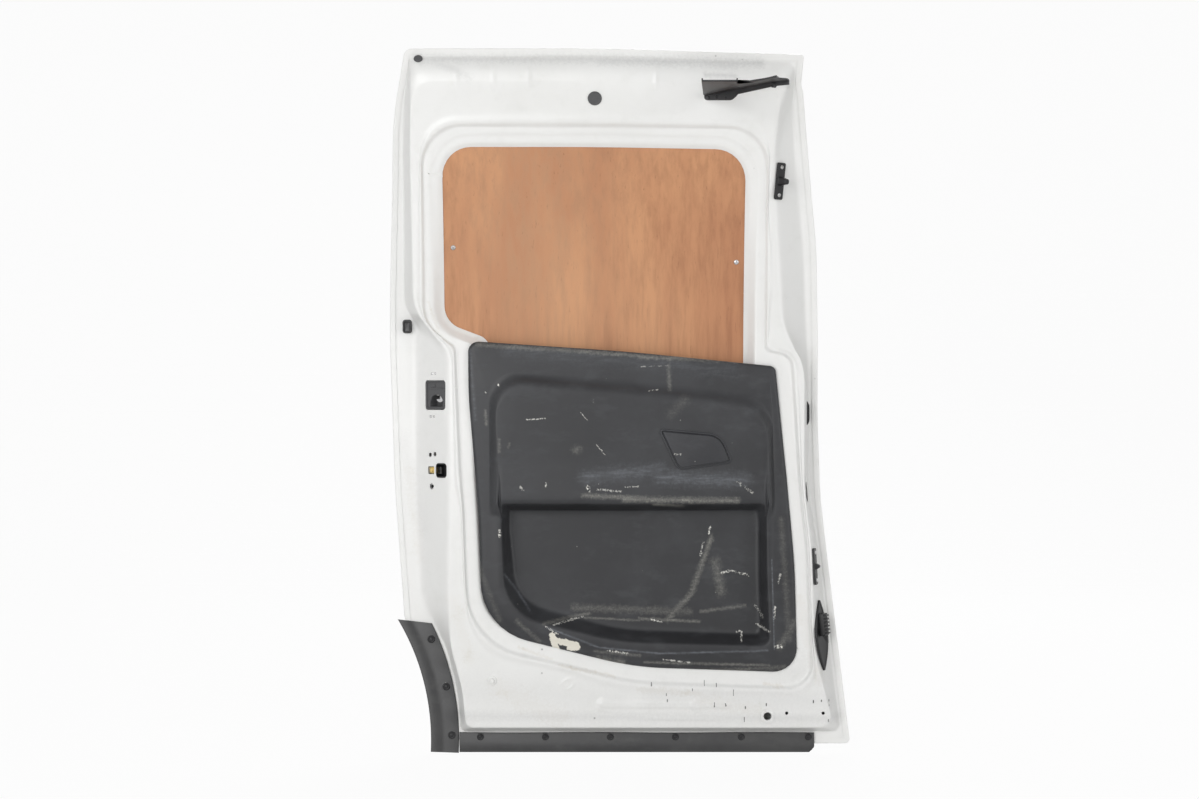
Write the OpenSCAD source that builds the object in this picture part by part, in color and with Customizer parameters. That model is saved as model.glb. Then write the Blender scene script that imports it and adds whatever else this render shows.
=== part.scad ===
// Left sliding side door of a small panel van, seen from its inner side.
// +X runs to the front of the van, +Z is up and the outside of the van is +Y.
// The origin lies on the flat land where the lower roller arm bolts on.
// All sizes below are taken in the door's own frame: x from the rear edge,
// z from the bottom edge of the skin, and depth inboard from the widest
// part of the outer skin.

/* [Door] */
// Thickness of the pressed sheet
sheet_t = 1.2; // [1:0.1:1.6]
// Radius of the outer skin above the belt line
upper_r = 1500; // [1400:50:1800]
// Radius of the outer skin below the belt line
lower_r = 3000; // [2600:100:3600]
// Height at which the lower curve of the skin starts
lower_z = 420; // [400:10:440]
// Height at which the upper curve of the skin starts
upper_z = 620; // [600:10:640]
// Depth of the inner panel's face from the widest part of the skin
face_depth = 60; // [58:1:62]
// How much thinner the door is at the top edge than at the belt line
top_thinning = 24; // [20:1:26]
// Width of the crimped hem along the edge
hem_w = 11; // [8:1:12]

/* [Window and trim] */
// Thickness of the plywood lining
ply_t = 4; // [3:0.5:5]
// Depth of the plywood's outer face from the skin
ply_depth = 24; // [22:1:26]
// Wall thickness of the moulded trim panel
trim_t = 3; // [2.5:0.5:3.5]
// How far the armrest ledge of the trim stands out from the panel's face
ledge_out = 28; // [22:1:32]
// Depth of the pocket's floor from the widest part of the skin
pocket_floor = 30; // [28:1:36]

/* [Fittings] */
// Distance between the two bolt holes of the lower roller arm
arm_hole_pitch = 66; // [60:1:72]
// Radius of those bolt holes
arm_hole_r = 2.9; // [2.6:0.1:3.3]
// Radius of the roller pin's hole in the upper arm
roller_hole_r = 5; // [4:0.5:6]
// Thickness of the upper arm's plate
arm_t = 3.5; // [3:0.5:4.5]
// Width of the rubber seal along the wheel arch
arch_seal_w = 46; // [40:1:48]
// Pitch of the contact carrier's teeth
tooth_pitch = 6.4; // [6:0.2:7]

/* [Hidden] */

// Middle of the lower arm's two holes, which is the origin of the part
seat_x = 754.6;
seat_z = 67.5;

// Colours
white = [0.93, 0.93, 0.91];
ply_colour = [0.72, 0.54, 0.40];
trim_colour = [0.25, 0.25, 0.26];
black = [0.09, 0.09, 0.09];
dark_paint = [0.16, 0.16, 0.165];
steel = [0.62, 0.63, 0.64];
zinc = [0.78, 0.66, 0.30];

// Wheel arch: an arc whose centre lies behind the door
arch_x = -350;
arch_z = 20;
arch_r = 431;
function arch_pt(z, grow) = [arch_x + sqrt(pow(arch_r + grow, 2) - pow(z - arch_z, 2)), z];

// Corner points of the main outlines. Each row is one place round the door,
// clockwise from the top rear corner, and holds five corners with the length
// that is rounded off on either side: the outline, the foot of the side wall,
// the head of the side wall, the step round the opening, and its lip.
ROWS = [
    [[25, 1255, 38], [37, 1232, 36], [50, 1192, 40], [65, 1122, 73], [83, 1104, 55]],
    [[383, 1255.5, 60], [383, 1235, 60], [383, 1196, 60], [373, 1122, 60], [373, 1104, 60]],
    [[746, 1244, 9], [731, 1226, 16], [704, 1184, 38], [684, 1117, 70], [663, 1099, 58]],
    [[744, 1190, 12], [731, 1150, 20], [704, 1090, 16], [684, 1010, 16], [663, 1000, 16]],
    [[777, 909, 40], [760, 900, 40], [706, 890, 40], [684, 870, 40], [663, 850, 40]],
    [[784, 740, 30], [767, 745, 30], [712, 765, 36], [684, 724, 9], [663, 692, 7]],
    [[784, 600, 30], [768, 610, 30], [754, 700, 24], [731, 715, 20], [689, 676, 9]],
    [[792, 429, 30], [776, 429, 30], [762, 440, 30], [755, 454, 30], [711, 454, 30]],
    [[816, 223, 30], [799, 223, 30], [783, 230, 30], [766, 240, 30], [722, 240, 30]],
    [[846, 0, 9], [827, 29, 16], [809, 42, 30], [771, 112, 60], [728, 156, 45]],
    [[443, 0, 60], [443, 29, 60], [443, 42, 60], [443, 123, 50], [443, 166, 50]],
    [concat(arch_pt(0, 0), 5), concat(arch_pt(29, 48), 10), concat(arch_pt(42, 62), 14),
        [330, 152, 20], [330, 194, 20]],
    [concat(arch_pt(90, 1), 24), concat(arch_pt(100, 49), 24), concat(arch_pt(110, 63), 24),
        [147, 195, 92], [175, 225, 60]],
    [concat(arch_pt(168, 1), 24), concat(arch_pt(180, 49), 22), concat(arch_pt(190, 63), 20),
        [139, 340, 30], [166, 330, 22]],
    [concat(arch_pt(232, 0), 12), [56, 262, 30], [110, 290, 30], [137, 420, 30], [161, 420, 30]],
    [[7, 470, 60], [43, 470, 60], [115, 480, 60], [131, 500, 30], [156, 510, 30]],
    [[-2, 740, 40], [43, 772, 10], [112, 716, 24], [120, 731, 8], [165, 732, 6]],
    [[0, 850, 60], [24, 812, 14], [47, 798, 30], [65, 763, 42], [83, 763, 42]],
    [[9, 1080, 60], [25, 1080, 60], [45, 1060, 60], [65, 1000, 40], [83, 1000, 40]]];
corner_n = 4;
edge_n = 1;

function unit(v) = v / norm(v);
function lerp(a, b, u) = a + (b - a) * u;

// A corner b between a and c, rounded over the length t by a circular arc
function corner(a, b, c, t, n) =
    let(d1 = unit(b - a), d2 = unit(c - b), w = sqrt((1 + d1 * d2) / 2),
        p = b - d1 * t, q = b + d2 * t)
    [for (i = [0:n]) let(u = i / n, k = (1 - u) * (1 - u) + 2 * u * (1 - u) * w + u * u)
        ((1 - u) * (1 - u) * p + 2 * u * (1 - u) * w * b + u * u * q) / k];

// A closed outline with rounded corners, with edge_n points on each straight
function rounded(keys, n = corner_n, m = edge_n) =
    let(c = len(keys), xy = [for (k = keys) [k[0], k[1]]],
        arcs = [for (j = [0:c - 1])
            corner(xy[(j + c - 1) % c], xy[j], xy[(j + 1) % c], keys[j][2], n)])
    [for (j = [0:c - 1]) each concat(arcs[j],
        [for (i = [1:1:m]) lerp(arcs[j][n], arcs[(j + 1) % c][0], i / (m + 1))])];

// The corner points of an outline moved inwards by s, each edge square to
// itself, with the lengths that are rounded off changed to suit
least_round = 2;
function shrink(keys, s) =
    let(c = len(keys), xy = [for (k = keys) [k[0], k[1]]])
    [for (j = [0:c - 1])
        let(d1 = unit(xy[j] - xy[(j + c - 1) % c]), d2 = unit(xy[(j + 1) % c] - xy[j]),
            open = 1 + d1 * d2, turn = d1[0] * d2[1] - d1[1] * d2[0],
            b = xy[j] + s / open * [d1[1] + d2[1], -d1[0] - d2[0]])
        [b[0], b[1], max(least_round, keys[j][2] + s * turn / open)]];

// Points on the way from a to b, by a distance or at most by a share of it
function toward(a, b, dist, most) = [for (i = [0:len(a) - 1])
    lerp(a[i], b[i], min(most, dist / norm(b[i] - a[i])))];
function blend(a, b, u) = [for (i = [0:len(a) - 1]) lerp(a[i], b[i], u)];

// Depth of the outer skin, of the inner panel's face and of the window's return
function skin_depth(z) = z < lower_z ? lower_r - sqrt(lower_r * lower_r - pow(lower_z - z, 2))
    : z > upper_z ? upper_r - sqrt(upper_r * upper_r - pow(z - upper_z, 2)) : 0;
face_bend_z = 560;
top_z = 1255;
function bend(z) = max(0, (z - face_bend_z) / (top_z - face_bend_z));
function panel_depth(z) = face_depth - top_thinning * bend(z)
    + (z > face_bend_z ? skin_depth(z) : 0);
flange_gap = 1.4;
function flange_depth(z) = skin_depth(z) + flange_gap + sheet_t;
ply_back = ply_depth + ply_t;
function return_depth(z) = skin_depth(z) + ply_back + sheet_t + 0.3;

outline_keys = [for (r = ROWS) r[0]];
lip_keys = [for (r = ROWS) r[4]];
outline = rounded(outline_keys);
foot = rounded([for (r = ROWS) r[1]]);
head = rounded([for (r = ROWS) r[2]]);
step_line = rounded([for (r = ROWS) r[3]]);
lip = rounded(lip_keys);

// One ring of the pressing: each point of the loop at a depth between that of
// the flange, for mix 0, and that of the face, for mix 1, plus a height
function at_depth(loop, mix, height) = [for (p = loop)
    [p[0], -lerp(flange_depth(p[1]), panel_depth(p[1]), mix) - height, p[1]]];
function at_return(loop, height) = [for (p = loop) [p[0], -return_depth(p[1]) - height, p[1]]];

// The rings of the inner panel from the hemmed flange to the window's return
PRESSING = [
    at_depth(rounded(shrink(outline_keys, 2.6)), 0, 0),
    at_depth(rounded(shrink(outline_keys, hem_w + 4)), 0, 0),
    at_depth(foot, 0, 0.6),
    at_depth(blend(foot, head, 0.12), 0.07, 0),
    at_depth(blend(foot, head, 0.5), 0.52, 0),
    at_depth(blend(foot, head, 0.88), 0.94, 0),
    at_depth(head, 1, 0),
    at_depth(toward(step_line, head, 19, 0.62), 1, 0),
    at_depth(toward(step_line, head, 9, 0.36), 1, 3.4),
    at_depth(toward(step_line, head, 3, 0.14), 1, 2.6),
    at_depth(toward(step_line, lip, 3, 0.2), 1, -3.6),
    at_depth(toward(lip, step_line, 5, 0.3), 1, -4),
    at_depth(lip, 1, -6),
    at_return(rounded(shrink(lip_keys, 11)), 5),
    at_return(rounded(shrink(lip_keys, 18)), 0)];

// The back of a pressed sheet: its rings moved along the sheet's own normals
function across(g, k, i) = let(n = len(g[0]))
    cross(g[k][(i + 1) % n] - g[k][(i + n - 1) % n],
        g[min(k + 1, len(g) - 1)][i] - g[max(k - 1, 0)][i]);
function back_of(g, t) = [for (k = [0:len(g) - 1]) [for (i = [0:len(g[k]) - 1])
    g[k][i] + t * unit(across(g, k, i))]];

// A sheet between the rings of its front and those of its back, closed along
// both edges, or closed over the middle point and the one behind it
module sheet_between(front, back, middle = []) {
    rows = len(front);
    n = len(front[0]);
    h = rows * n;
    e = (rows - 1) * n;
    polyhedron(concat([for (r = front) each r], [for (r = back) each r], middle), concat(
        [for (k = [0:rows - 2]) for (i = [0:n - 1]) let(j = (i + 1) % n)
            each [[k * n + i, (k + 1) * n + j, (k + 1) * n + i], [k * n + i, k * n + j, (k + 1) * n + j]]],
        [for (k = [0:rows - 2]) for (i = [0:n - 1]) let(j = (i + 1) % n)
            each [[h + k * n + i, h + (k + 1) * n + i, h + (k + 1) * n + j],
                [h + k * n + i, h + (k + 1) * n + j, h + k * n + j]]],
        [for (i = [0:n - 1]) let(j = (i + 1) % n) each [[i, h + j, j], [i, h + i, h + j]]],
        [for (i = [0:n - 1]) let(j = (i + 1) % n) each len(middle) == 0
            ? [[e + i, e + j, h + e + j], [e + i, h + e + j, h + e + i]]
            : [[e + i, e + j, 2 * h], [h + e + i, 2 * h + 1, h + e + j]]]));
}

// Everything is drawn in the door's frame and moved to the origin here
module door_frame() {
    translate([-seat_x, face_depth, -seat_z]) children();
}

// A prism through the door with the given outline, between two depths
module prism(points, near, far) {
    translate([0, -near, 0]) rotate([90, 0, 0]) linear_extrude(far - near) polygon(points);
}

module round_prism(x, z, r, near, far) {
    translate([x, -near, z]) rotate([90, 0, 0]) cylinder(r = r, h = far - near, $fn = 48);
}

// The region inboard of the skin moved inwards by o, seen from the end
module behind_skin(o) {
    union() {
        intersection() {
            translate([-upper_r, upper_z]) circle(r = upper_r - o, $fn = 360);
            translate([-260, upper_z]) square([270, 700]);
        }
        translate([-260, lower_z]) square([260 - o, upper_z - lower_z]);
        intersection() {
            translate([-lower_r, lower_z]) circle(r = lower_r - o, $fn = 720);
            translate([-260, lower_z - 460]) square([270, 460]);
        }
    }
}

// A layer of the door between two offsets from the skin's outer face
module layer(o1, o2) {
    translate([-20, 0, 0]) rotate([90, 0, 90]) linear_extrude(900) difference() {
        behind_skin(o1);
        behind_skin(o2);
    }
}

module layer_within(points, o1, o2) {
    intersection() {
        layer(o1, o2);
        prism(points, -10, 230);
    }
}

// The blanked window and the swage of the outer skin
blank_keys = [[70, 1120, 55], [678, 1112, 55], [690, 735, 50], [60, 745, 50]];
blank_window = rounded(blank_keys, 6, 0);
swage = rounded([[70, 345, 20], [760, 345, 20], [772, 300, 20], [78, 300, 20]], 5, 0);
blank_depth = 5;
handle_x = 705;
handle_z = 610;
handle_keys = [[handle_x - 62, handle_z + 27, 16], [handle_x + 62, handle_z + 27, 16],
    [handle_x + 62, handle_z - 27, 16], [handle_x - 62, handle_z - 27, 16]];

module outer_skin() {
    rim = rounded(shrink(outline_keys, 1.5));
    inner = rounded(shrink(outline_keys, hem_w));
    color(white) door_frame() difference() {
        union() {
            layer_within(outline, 0, 4.2);
            layer_within(blank_window, 1, blank_depth + sheet_t);
        }
        difference() {
            layer_within(inner, sheet_t, 4.4);
            prism(blank_window, -10, 230);
        }
        difference() {
            layer_within(rim, sheet_t, 3.2);
            prism(inner, -10, 230);
        }
        layer_within(rounded(shrink(blank_keys, sheet_t), 6, 0), -3, blank_depth);
        layer_within(swage, -3, 0.6);
        prism(rounded(handle_keys, 5, 0), -5, 12);
    }
}

// Rear side wall: a flat slope from its foot to its head at the latch height.
// Local x runs up the slope, local z is up and local -y stands off the sheet.
wall_foot_x = 43;
wall_head_x = 115;
wall_foot_d = 3.6;
wall_angle = atan2(face_depth - wall_foot_d, wall_head_x - wall_foot_x);
wall_len = norm([face_depth - wall_foot_d, wall_head_x - wall_foot_x]);
module on_rear_wall(x, z) {
    u = (x - wall_foot_x) / (wall_head_x - wall_foot_x);
    translate([x, -lerp(wall_foot_d, face_depth, u), z]) rotate([0, 0, -wall_angle]) children();
}

module wall_box(w, d, h) {
    translate([-w / 2, -d / 2, -h / 2]) cube([w, d, h]);
}

module wall_hole(r, d = 16) {
    translate([0, d / 2, 0]) rotate([90, 0, 0]) cylinder(r = r, h = d, $fn = 32);
}

// Front side wall: steep, and leaning back as it rises. Local -y stands off it.
module on_front_wall(x, z, depth, turn, lean) {
    translate([x, -depth, z]) rotate([0, 0, turn]) rotate([lean, 0, 0]) children();
}

latch_x = 84;
latch_z = 643;
latch_w = 52;
latch_h = 54;
hinge_x = 84;
hinge_z = 506;
cup_z = 467;
collar_x = 687;
collar_z = 62;

module panel_cuts() {
    on_rear_wall(latch_x, latch_z) wall_box(latch_w, 26, latch_h);
    on_rear_wall(hinge_x - 8, hinge_z) wall_box(16, 26, 14);
    on_rear_wall(hinge_x + 12, hinge_z) wall_box(28, 26, 27);
    for (p = [[74, 534], [84, 535.5]]) on_rear_wall(p[0], p[1]) wall_hole(4);
    on_rear_wall(77, 476.5) wall_hole(5.5);
    for (s = [-1, 1]) round_prism(seat_x + s * arm_hole_pitch / 2, seat_z, arm_hole_r, 40, 80);
    round_prism(collar_x, collar_z, 8.5, 40, 80);
    cup_place() wall_hole(cup_r, 14);
}

// Two round places where the face is pressed out a little, under the drain
// hole's collar and under the stud
boss_out = 0.6;
stud_x = 188.8;
stud_z = 126.4;
stud_r = 8.5;
collar_r = 13;
module panel_bosses() {
    round_prism(collar_x, collar_z, collar_r + 2, face_depth - sheet_t / 2, face_depth + boss_out);
    round_prism(stud_x, stud_z, stud_r + 2, face_depth - sheet_t / 2, face_depth + boss_out);
}

module inner_panel() {
    color(white) door_frame() difference() {
        union() {
            sheet_between(PRESSING, back_of(PRESSING, sheet_t));
            panel_bosses();
        }
        panel_cuts();
    }
}

// Rail across the door under the plywood, behind the top of the trim: a hat
// section that closes against the return flanges on both sides
rail_top = 698;
rail_h = 57;
rail_t = 1.6;
rail_deep = 18;
module belt_rail() {
    y = -ply_back;
    color(white) door_frame() translate([160, 0, rail_top - rail_h - 0.5]) rotate([90, 0, 90])
        linear_extrude(524) difference() {
            translate([y, 0]) square([rail_deep, rail_h]);
            translate([y + rail_t, rail_t]) square([rail_deep, rail_h - 2 * rail_t]);
        }
}

ply_outline = rounded([[90, 1097, 44], [656, 1092, 46], [656, rail_top, 8], [172, rail_top, 30],
    [90, 757, 36]], 5, 0);
module plywood_panel() {
    color(ply_colour) door_frame() layer_within(ply_outline, ply_depth, ply_back);
}

ply_screws = [[118, 910], [631, 884]];
module plywood_screws() {
    color(steel) door_frame() for (p = ply_screws) {
        lean = asin((p[1] - upper_z) / upper_r);
        translate([p[0], -skin_depth(p[1]) - ply_back, p[1]]) rotate([90 + lean, 0, 0]) {
            cylinder(r1 = 4.5, r2 = 3.6, h = 1.6, $fn = 32);
            translate([0, 0, -ply_t]) cylinder(r = 1.8, h = ply_t, $fn = 24);
        }
    }
}

// Trim panel: one moulding on the land round the opening. Each row is one
// place round it, clockwise from the top rear corner, and holds the corners of
// its edge, the foot and the head of the raised pad, the brow of the armrest
// ledge, the rim of the pocket and the pocket's foot.
TRIM_ROWS = [
    [[145, 741, 20], [193, 674, 34], [204, 660, 30], [209, 522, 12], [213, 448, 6], [225, 434, 6]],
    [[430, 720, 60], [430, 664, 60], [430, 648, 60], [440, 522, 60], [440, 447, 60], [440, 433, 60]],
    [[699, 699, 10], [687, 632, 34], [678, 617, 30], [680, 520, 12], [677, 446, 6], [667, 432, 6]],
    [[721, 500, 24], [693, 456, 14], [687, 452, 14], [683, 448, 12], [679, 424, 8], [669, 412, 8]],
    [[736, 335, 40], [699, 320, 30], [693, 320, 30], [689, 320, 30], [685, 320, 30], [674, 320, 30]],
    [[741, 141, 45], [705, 171, 26], [700, 177, 24], [695, 184, 20], [690, 190, 16], [677, 206, 12]],
    [[443, 151, 60], [428, 175, 50], [426, 183, 50], [423, 190, 50], [420, 197, 50], [418, 214, 50]],
    [[170, 219, 84], [191, 228, 70], [198, 234, 68], [205, 240, 66], [212, 247, 64], [232, 266, 54]],
    [[165, 420, 40], [194, 424, 8], [202, 424, 8], [208, 422, 8], [212, 412, 8], [224, 404, 8]],
    [[146, 640, 30], [193, 470, 12], [203, 466, 12], [208, 462, 12], [212.5, 430, 5], [224.5, 420, 5]]];
ledge_z = 446;
ledge_fade = 20;
trim_seat = face_depth - 3.4;
pad_out = 20;
rim_out = 8;

// The share of the pad's height at height z: it fades out under the ledge
function pad_share(z) = min(1, max(0, (z - ledge_z + ledge_fade) / ledge_fade));
function trim_ring(column, low, high, s) =
    [for (p = rounded(shrink([for (r = TRIM_ROWS) r[column]], s), 4, 1))
        [p[0], -lerp(low, high, pad_share(p[1])), p[1]]];
pocket_middle = [450, -pocket_floor, 320];

// The moulding's rings: the corner column of each, its depth beside the pocket
// and on the pad, how far the corners are moved in, and how far the back
// stands outside the front where the wall is steep
TRIM_STEPS = [
    [0, trim_seat + trim_t, trim_seat + trim_t, 0, 0],
    [0, trim_seat + trim_t + 3, trim_seat + trim_t + 3, 4, 0],
    [0, trim_seat + trim_t + 4.4, trim_seat + trim_t + 4.4, 12, 0],
    [1, face_depth + rim_out - 1.6, face_depth + rim_out - 1.6, 0, 0],
    [2, face_depth + rim_out, face_depth + pad_out, 0, 0],
    [3, face_depth + rim_out + 0.5, face_depth + pad_out + 2.5, 0, 1.5],
    [4, face_depth + rim_out, face_depth + ledge_out, 0, 3],
    [5, pocket_floor + 1, pocket_floor + 1, 0, 3],
    [5, pocket_floor, pocket_floor, 8, 3]];
function trim_side(back) = [for (q = TRIM_STEPS)
    trim_ring(q[0], q[1] - back * trim_t, q[2] - back * trim_t, q[3] - back * q[4])];

module trim_panel() {
    color(trim_colour) door_frame() sheet_between(trim_side(0), trim_side(1),
        [pocket_middle, pocket_middle + [0, trim_t, 0]]);
}

module slice(points, depth, thick = 0.5) {
    translate([0, -depth, 0]) rotate([90, 0, 0]) linear_extrude(thick) polygon(points);
}

// Blank cover over the place of the inner handle, on the pad's slope
blank_keys_trim = [[500, 577, 12], [592, 571, 14], [614, 536, 8], [610, 516, 8], [528, 508, 12]];
blank_seat = face_depth + pad_out + 3.4;
module trim_blank() {
    color(trim_colour) door_frame() hull() {
        slice(rounded(blank_keys_trim, 4, 0), blank_seat);
        slice(rounded(shrink(blank_keys_trim, 1.5), 4, 0), blank_seat + 2.5);
    }
}

// Rubber flap along the wheel arch, on the wide flange beside it. Local x and
// y run along the flange from the middle of the arch and local z stands off it.
arch_lean = 5.6;
arch_depth = 30.6;
arch_foot_z = 10;
seal_angle = 34;
seal_end = [[340, 225.5], [460, 211.5], [460, 300], [340, 300]];
module arch_frame() {
    translate([arch_x, -arch_depth, arch_foot_z]) rotate([-arch_lean, 0, 0]) rotate([90, 0, 0])
        children();
}

module arch_seal() {
    r = arch_r;
    w = arch_seal_w;
    color(black) door_frame() arch_frame() difference() {
        rotate_extrude(angle = seal_angle, $fn = 240)
            polygon([[r - 2, 2.2], [r + hem_w + 1, 2.2], [r + hem_w + 3, 0.3], [r + w - 8, 0.3],
                [r + w, 1.2], [r + w, 3], [r + hem_w + 3, 4.4], [r - 3, 5.6], [r - 5, 4]]);
        translate([0, 0, -5]) linear_extrude(20) polygon(seal_end);
    }
}

module clip(r = 7) {
    cylinder(r1 = r, r2 = r - 1.4, h = 2.2, $fn = 32);
    translate([0, 0, 2]) cylinder(r = r - 3.4, h = 1, $fn = 32);
}

arch_clips = [1.6, 12.5, 23.7];
module arch_seal_clips() {
    color(black) door_frame() arch_frame() for (a = arch_clips)
        rotate([0, 0, a]) translate([arch_r + 33, 0, 3.8]) clip();
}

// Rubber flap along the sill: it steps over the hem and hangs below the edge
module sill_seal() {
    color(black) door_frame() translate([128, 0, 0]) rotate([90, 0, 90]) linear_extrude(650)
        polygon([[-29.8, 28], [-31, 12.6], [-33.4, 12], [-34.3, 1], [-34.6, -7], [-36.6, -7.4],
            [-37.4, 4], [-36.2, 14], [-33, 28]]);
}

sill_clips = [166, 284.4, 402.8, 521.2, 641.4, 763.4];
sill_clip_z = 20.5;
sill_face = 35.6;
module sill_seal_clips() {
    color(black) door_frame() for (x = sill_clips)
        translate([x, -sill_face, sill_clip_z]) rotate([90, 0, 0]) clip();
}

// Upper roller arm: a bent plate on the panel's top band, reaching inboard and
// forward to the roller's tongue
arm_z = 1171;
arm_x0 = 562;
arm_x1 = 626;
arm_root = panel_depth(arm_z) + 1;
arm_plan = [[arm_x0, arm_root + 2, 3], [arm_x1 + 4, arm_root + 2, 10], [700, 255, 14], [712, 300, 12],
    [678, 338, 10], [655, 322, 12], [618, 268, 12], [arm_x0, 268, 6]];
roller_x = 684;
roller_d = 286;
arm_lip = 12;
arm_lean = 20;
foot_h = 20;
module arm_foot_place(drop) {
    z = arm_z - drop;
    translate([0, -panel_depth(z) - 0.4, z]) rotate([arm_lean, 0, 0]) children();
}

module upper_arm() {
    plan = [for (p = rounded(arm_plan, 5, 0)) [p[0], -p[1]]];
    core = [for (p = rounded(shrink(arm_plan, -arm_t), 5, 0)) [p[0], -p[1]]];
    color(dark_paint) door_frame() difference() {
        union() {
            translate([0, 0, arm_z]) linear_extrude(arm_t) polygon(plan);
            translate([0, 0, arm_z]) linear_extrude(arm_lip) difference() {
                polygon(plan);
                polygon(core);
                translate([arm_x0 - 10, -arm_root - 22]) square([300, 40]);
            }
            arm_foot_place(8) translate([arm_x0, -arm_t, -foot_h / 2]) cube([arm_x1 - arm_x0, arm_t, foot_h]);
        }
        translate([roller_x, -roller_d, arm_z - 5]) cylinder(r = roller_hole_r, h = arm_lip + 10, $fn = 48);
    }
}

arm_bolts = [575, 594, 613];
module upper_arm_bolts() {
    color(steel) door_frame() arm_foot_place(11) for (x = arm_bolts)
        translate([x, -arm_t - 0.1, 0]) rotate([90, 0, 0]) cylinder(r = 5.5, h = 3, $fn = 6);
}

// A striker wedge: a plate with a sloped boss that guides the door home
module wedge_shape() {
    hull() {
        translate([-9, -2, -33]) cube([18, 2, 66]);
        translate([-7, -4, -30]) cube([14, 2, 60]);
    }
    hull() {
        translate([-6, -5, -18]) cube([12, 2, 36]);
        translate([-4, -13, -5]) cube([8, 1, 10]);
    }
}

module upper_wedge_place() {
    translate([715, -93.6, 1028]) rotate([0, 0, 45]) rotate([7.6, -12.4, 0]) children();
}

module lower_wedge_place() {
    on_front_wall(780.2, 331, 32, 75, -6.4) children();
}

module upper_wedge() {
    color(black) door_frame() upper_wedge_place() wedge_shape();
}

module lower_wedge() {
    color(black) door_frame() lower_wedge_place() wedge_shape();
}

module wedge_screws() {
    for (s = [-1, 1]) translate([0, -4, s * 25]) rotate([90, 0, 0]) cylinder(r = 3.4, h = 1.6, $fn = 24);
}

module upper_wedge_screws() {
    color(steel) door_frame() upper_wedge_place() wedge_screws();
}

module lower_wedge_screws() {
    color(steel) door_frame() lower_wedge_place() wedge_screws();
}

// Contact carrier on the front wall, with a toothed block for the contacts
module carrier_place() {
    on_front_wall(794.4, 206, 36, 72, -6.8) children();
}

carrier_outline = [[-2, 66, 5], [11, 40, 14], [14, -20, 20], [4, -66, 5], [-8, -40, 14], [-14, 20, 20]];
module contact_carrier() {
    color(black) door_frame() carrier_place() rotate([90, 0, 0])
        linear_extrude(4) polygon(rounded(carrier_outline, 5, 0));
}

teeth = 6;
module contact_block() {
    color(black) door_frame() carrier_place() translate([0, -4, 20]) {
        translate([-9, -10, -20]) cube([18, 10, 40]);
        for (i = [0:teeth - 1]) translate([-7, -14, (i - (teeth - 1) / 2) * tooth_pitch - 1.4])
            cube([14, 4.5, 2.8]);
    }
}

// Rear latch: a housing let into the slanted wall with an arched mouth for
// the striker, which runs in from the rear
mouth_w = 26;
mouth_h = 22;
module latch_housing() {
    color(black) door_frame() on_rear_wall(latch_x, latch_z) difference() {
        union() {
            translate([-latch_w / 2 + 0.6, -1, -latch_h / 2 + 0.6]) cube([latch_w - 1.2, 24, latch_h - 1.2]);
        }
        translate([-latch_w / 2 + 4, -2, -latch_h / 2 + 4]) cube([latch_w - 8, 5, latch_h - 8]);
        translate([-mouth_w / 2 - 20, -2, -mouth_h / 2 - 10]) cube([mouth_w + 20, 20, mouth_h - 6]);
        translate([0, 18, -mouth_h / 2 + 4 - 10 + mouth_h / 2]) rotate([90, 0, 0])
            cylinder(r = mouth_w / 2, h = 20, $fn = 48);
    }
}

module latch_claw() {
    color(steel) door_frame() on_rear_wall(latch_x, latch_z) translate([6, 12, -4]) rotate([90, 0, 0])
        difference() {
            cylinder(r = 9, h = 6, $fn = 40);
            translate([-12, -3.5, -1]) cube([12, 7, 8]);
        }
}

latch_spots = [[-8, 36], [8, 36], [-6, -38], [6, -38]];
module latch_screws() {
    color(steel) door_frame() on_rear_wall(latch_x, latch_z)
        for (p = latch_spots) translate([p[0], -0.2, p[1]]) rotate([90, 0, 0])
            cylinder(r = 3.6, h = 1.8, $fn = 24);
}

buffer_x = 30.5;
buffer_z = 769;
buffer_lean = 5;
buffer_keys = [[-8.5, 12.5, 5], [8.5, 12.5, 5], [8.5, -12.5, 5], [-8.5, -12.5, 5]];
module rear_buffer() {
    color(black) door_frame() translate([buffer_x, -flange_depth(buffer_z) - 0.6, buffer_z])
        rotate([90 + buffer_lean, 0, 0]) difference() {
            union() {
                linear_extrude(3) polygon(rounded(buffer_keys, 5, 0));
                linear_extrude(15) polygon(rounded(shrink(buffer_keys, 1.2), 5, 0));
            }
            translate([0, 0, 13]) linear_extrude(3) polygon(rounded(shrink(buffer_keys, 3.4), 5, 0));
        }
}

// Reinforcement behind the slanted wall, with the hinge arm's threaded holes
module hinge_plate() {
    color(steel) door_frame() on_rear_wall(hinge_x, hinge_z) difference() {
        translate([-30, 2.6, -48]) cube([60, 3, 96]);
        translate([-17, 0, -8]) cube([17.5, 8, 16]);
        translate([-2.5, 0, -14.5]) cube([29, 8, 29]);
        for (p = [[-13.5, 28], [0, 29.5], [-9.6, -29.5]]) translate([p[0], 8, p[1]]) rotate([90, 0, 0])
            cylinder(r = 3.3, h = 9, $fn = 32);
    }
}

module hinge_lock_housing() {
    color(black) door_frame() on_rear_wall(hinge_x + 12, hinge_z) difference() {
        translate([-13.2, 0, -12.8]) cube([26.4, 20, 25.6]);
        translate([-11.2, -1, -10.8]) cube([22.4, 19, 21.6]);
        translate([-14, -1, -6]) cube([5, 15, 12]);
    }
}

module hinge_lock_lever() {
    color(zinc) door_frame() on_rear_wall(hinge_x - 8, hinge_z) difference() {
        translate([-7, 3, -6.2]) cube([13, 10, 12.4]);
        translate([-8, 2, -3]) cube([9, 5, 6]);
    }
}

// Cup behind the round hole of the front wall
cup_r = 17;
module cup_place() {
    on_front_wall(768, cup_z, 32, 76, -2.6) children();
}

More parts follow.
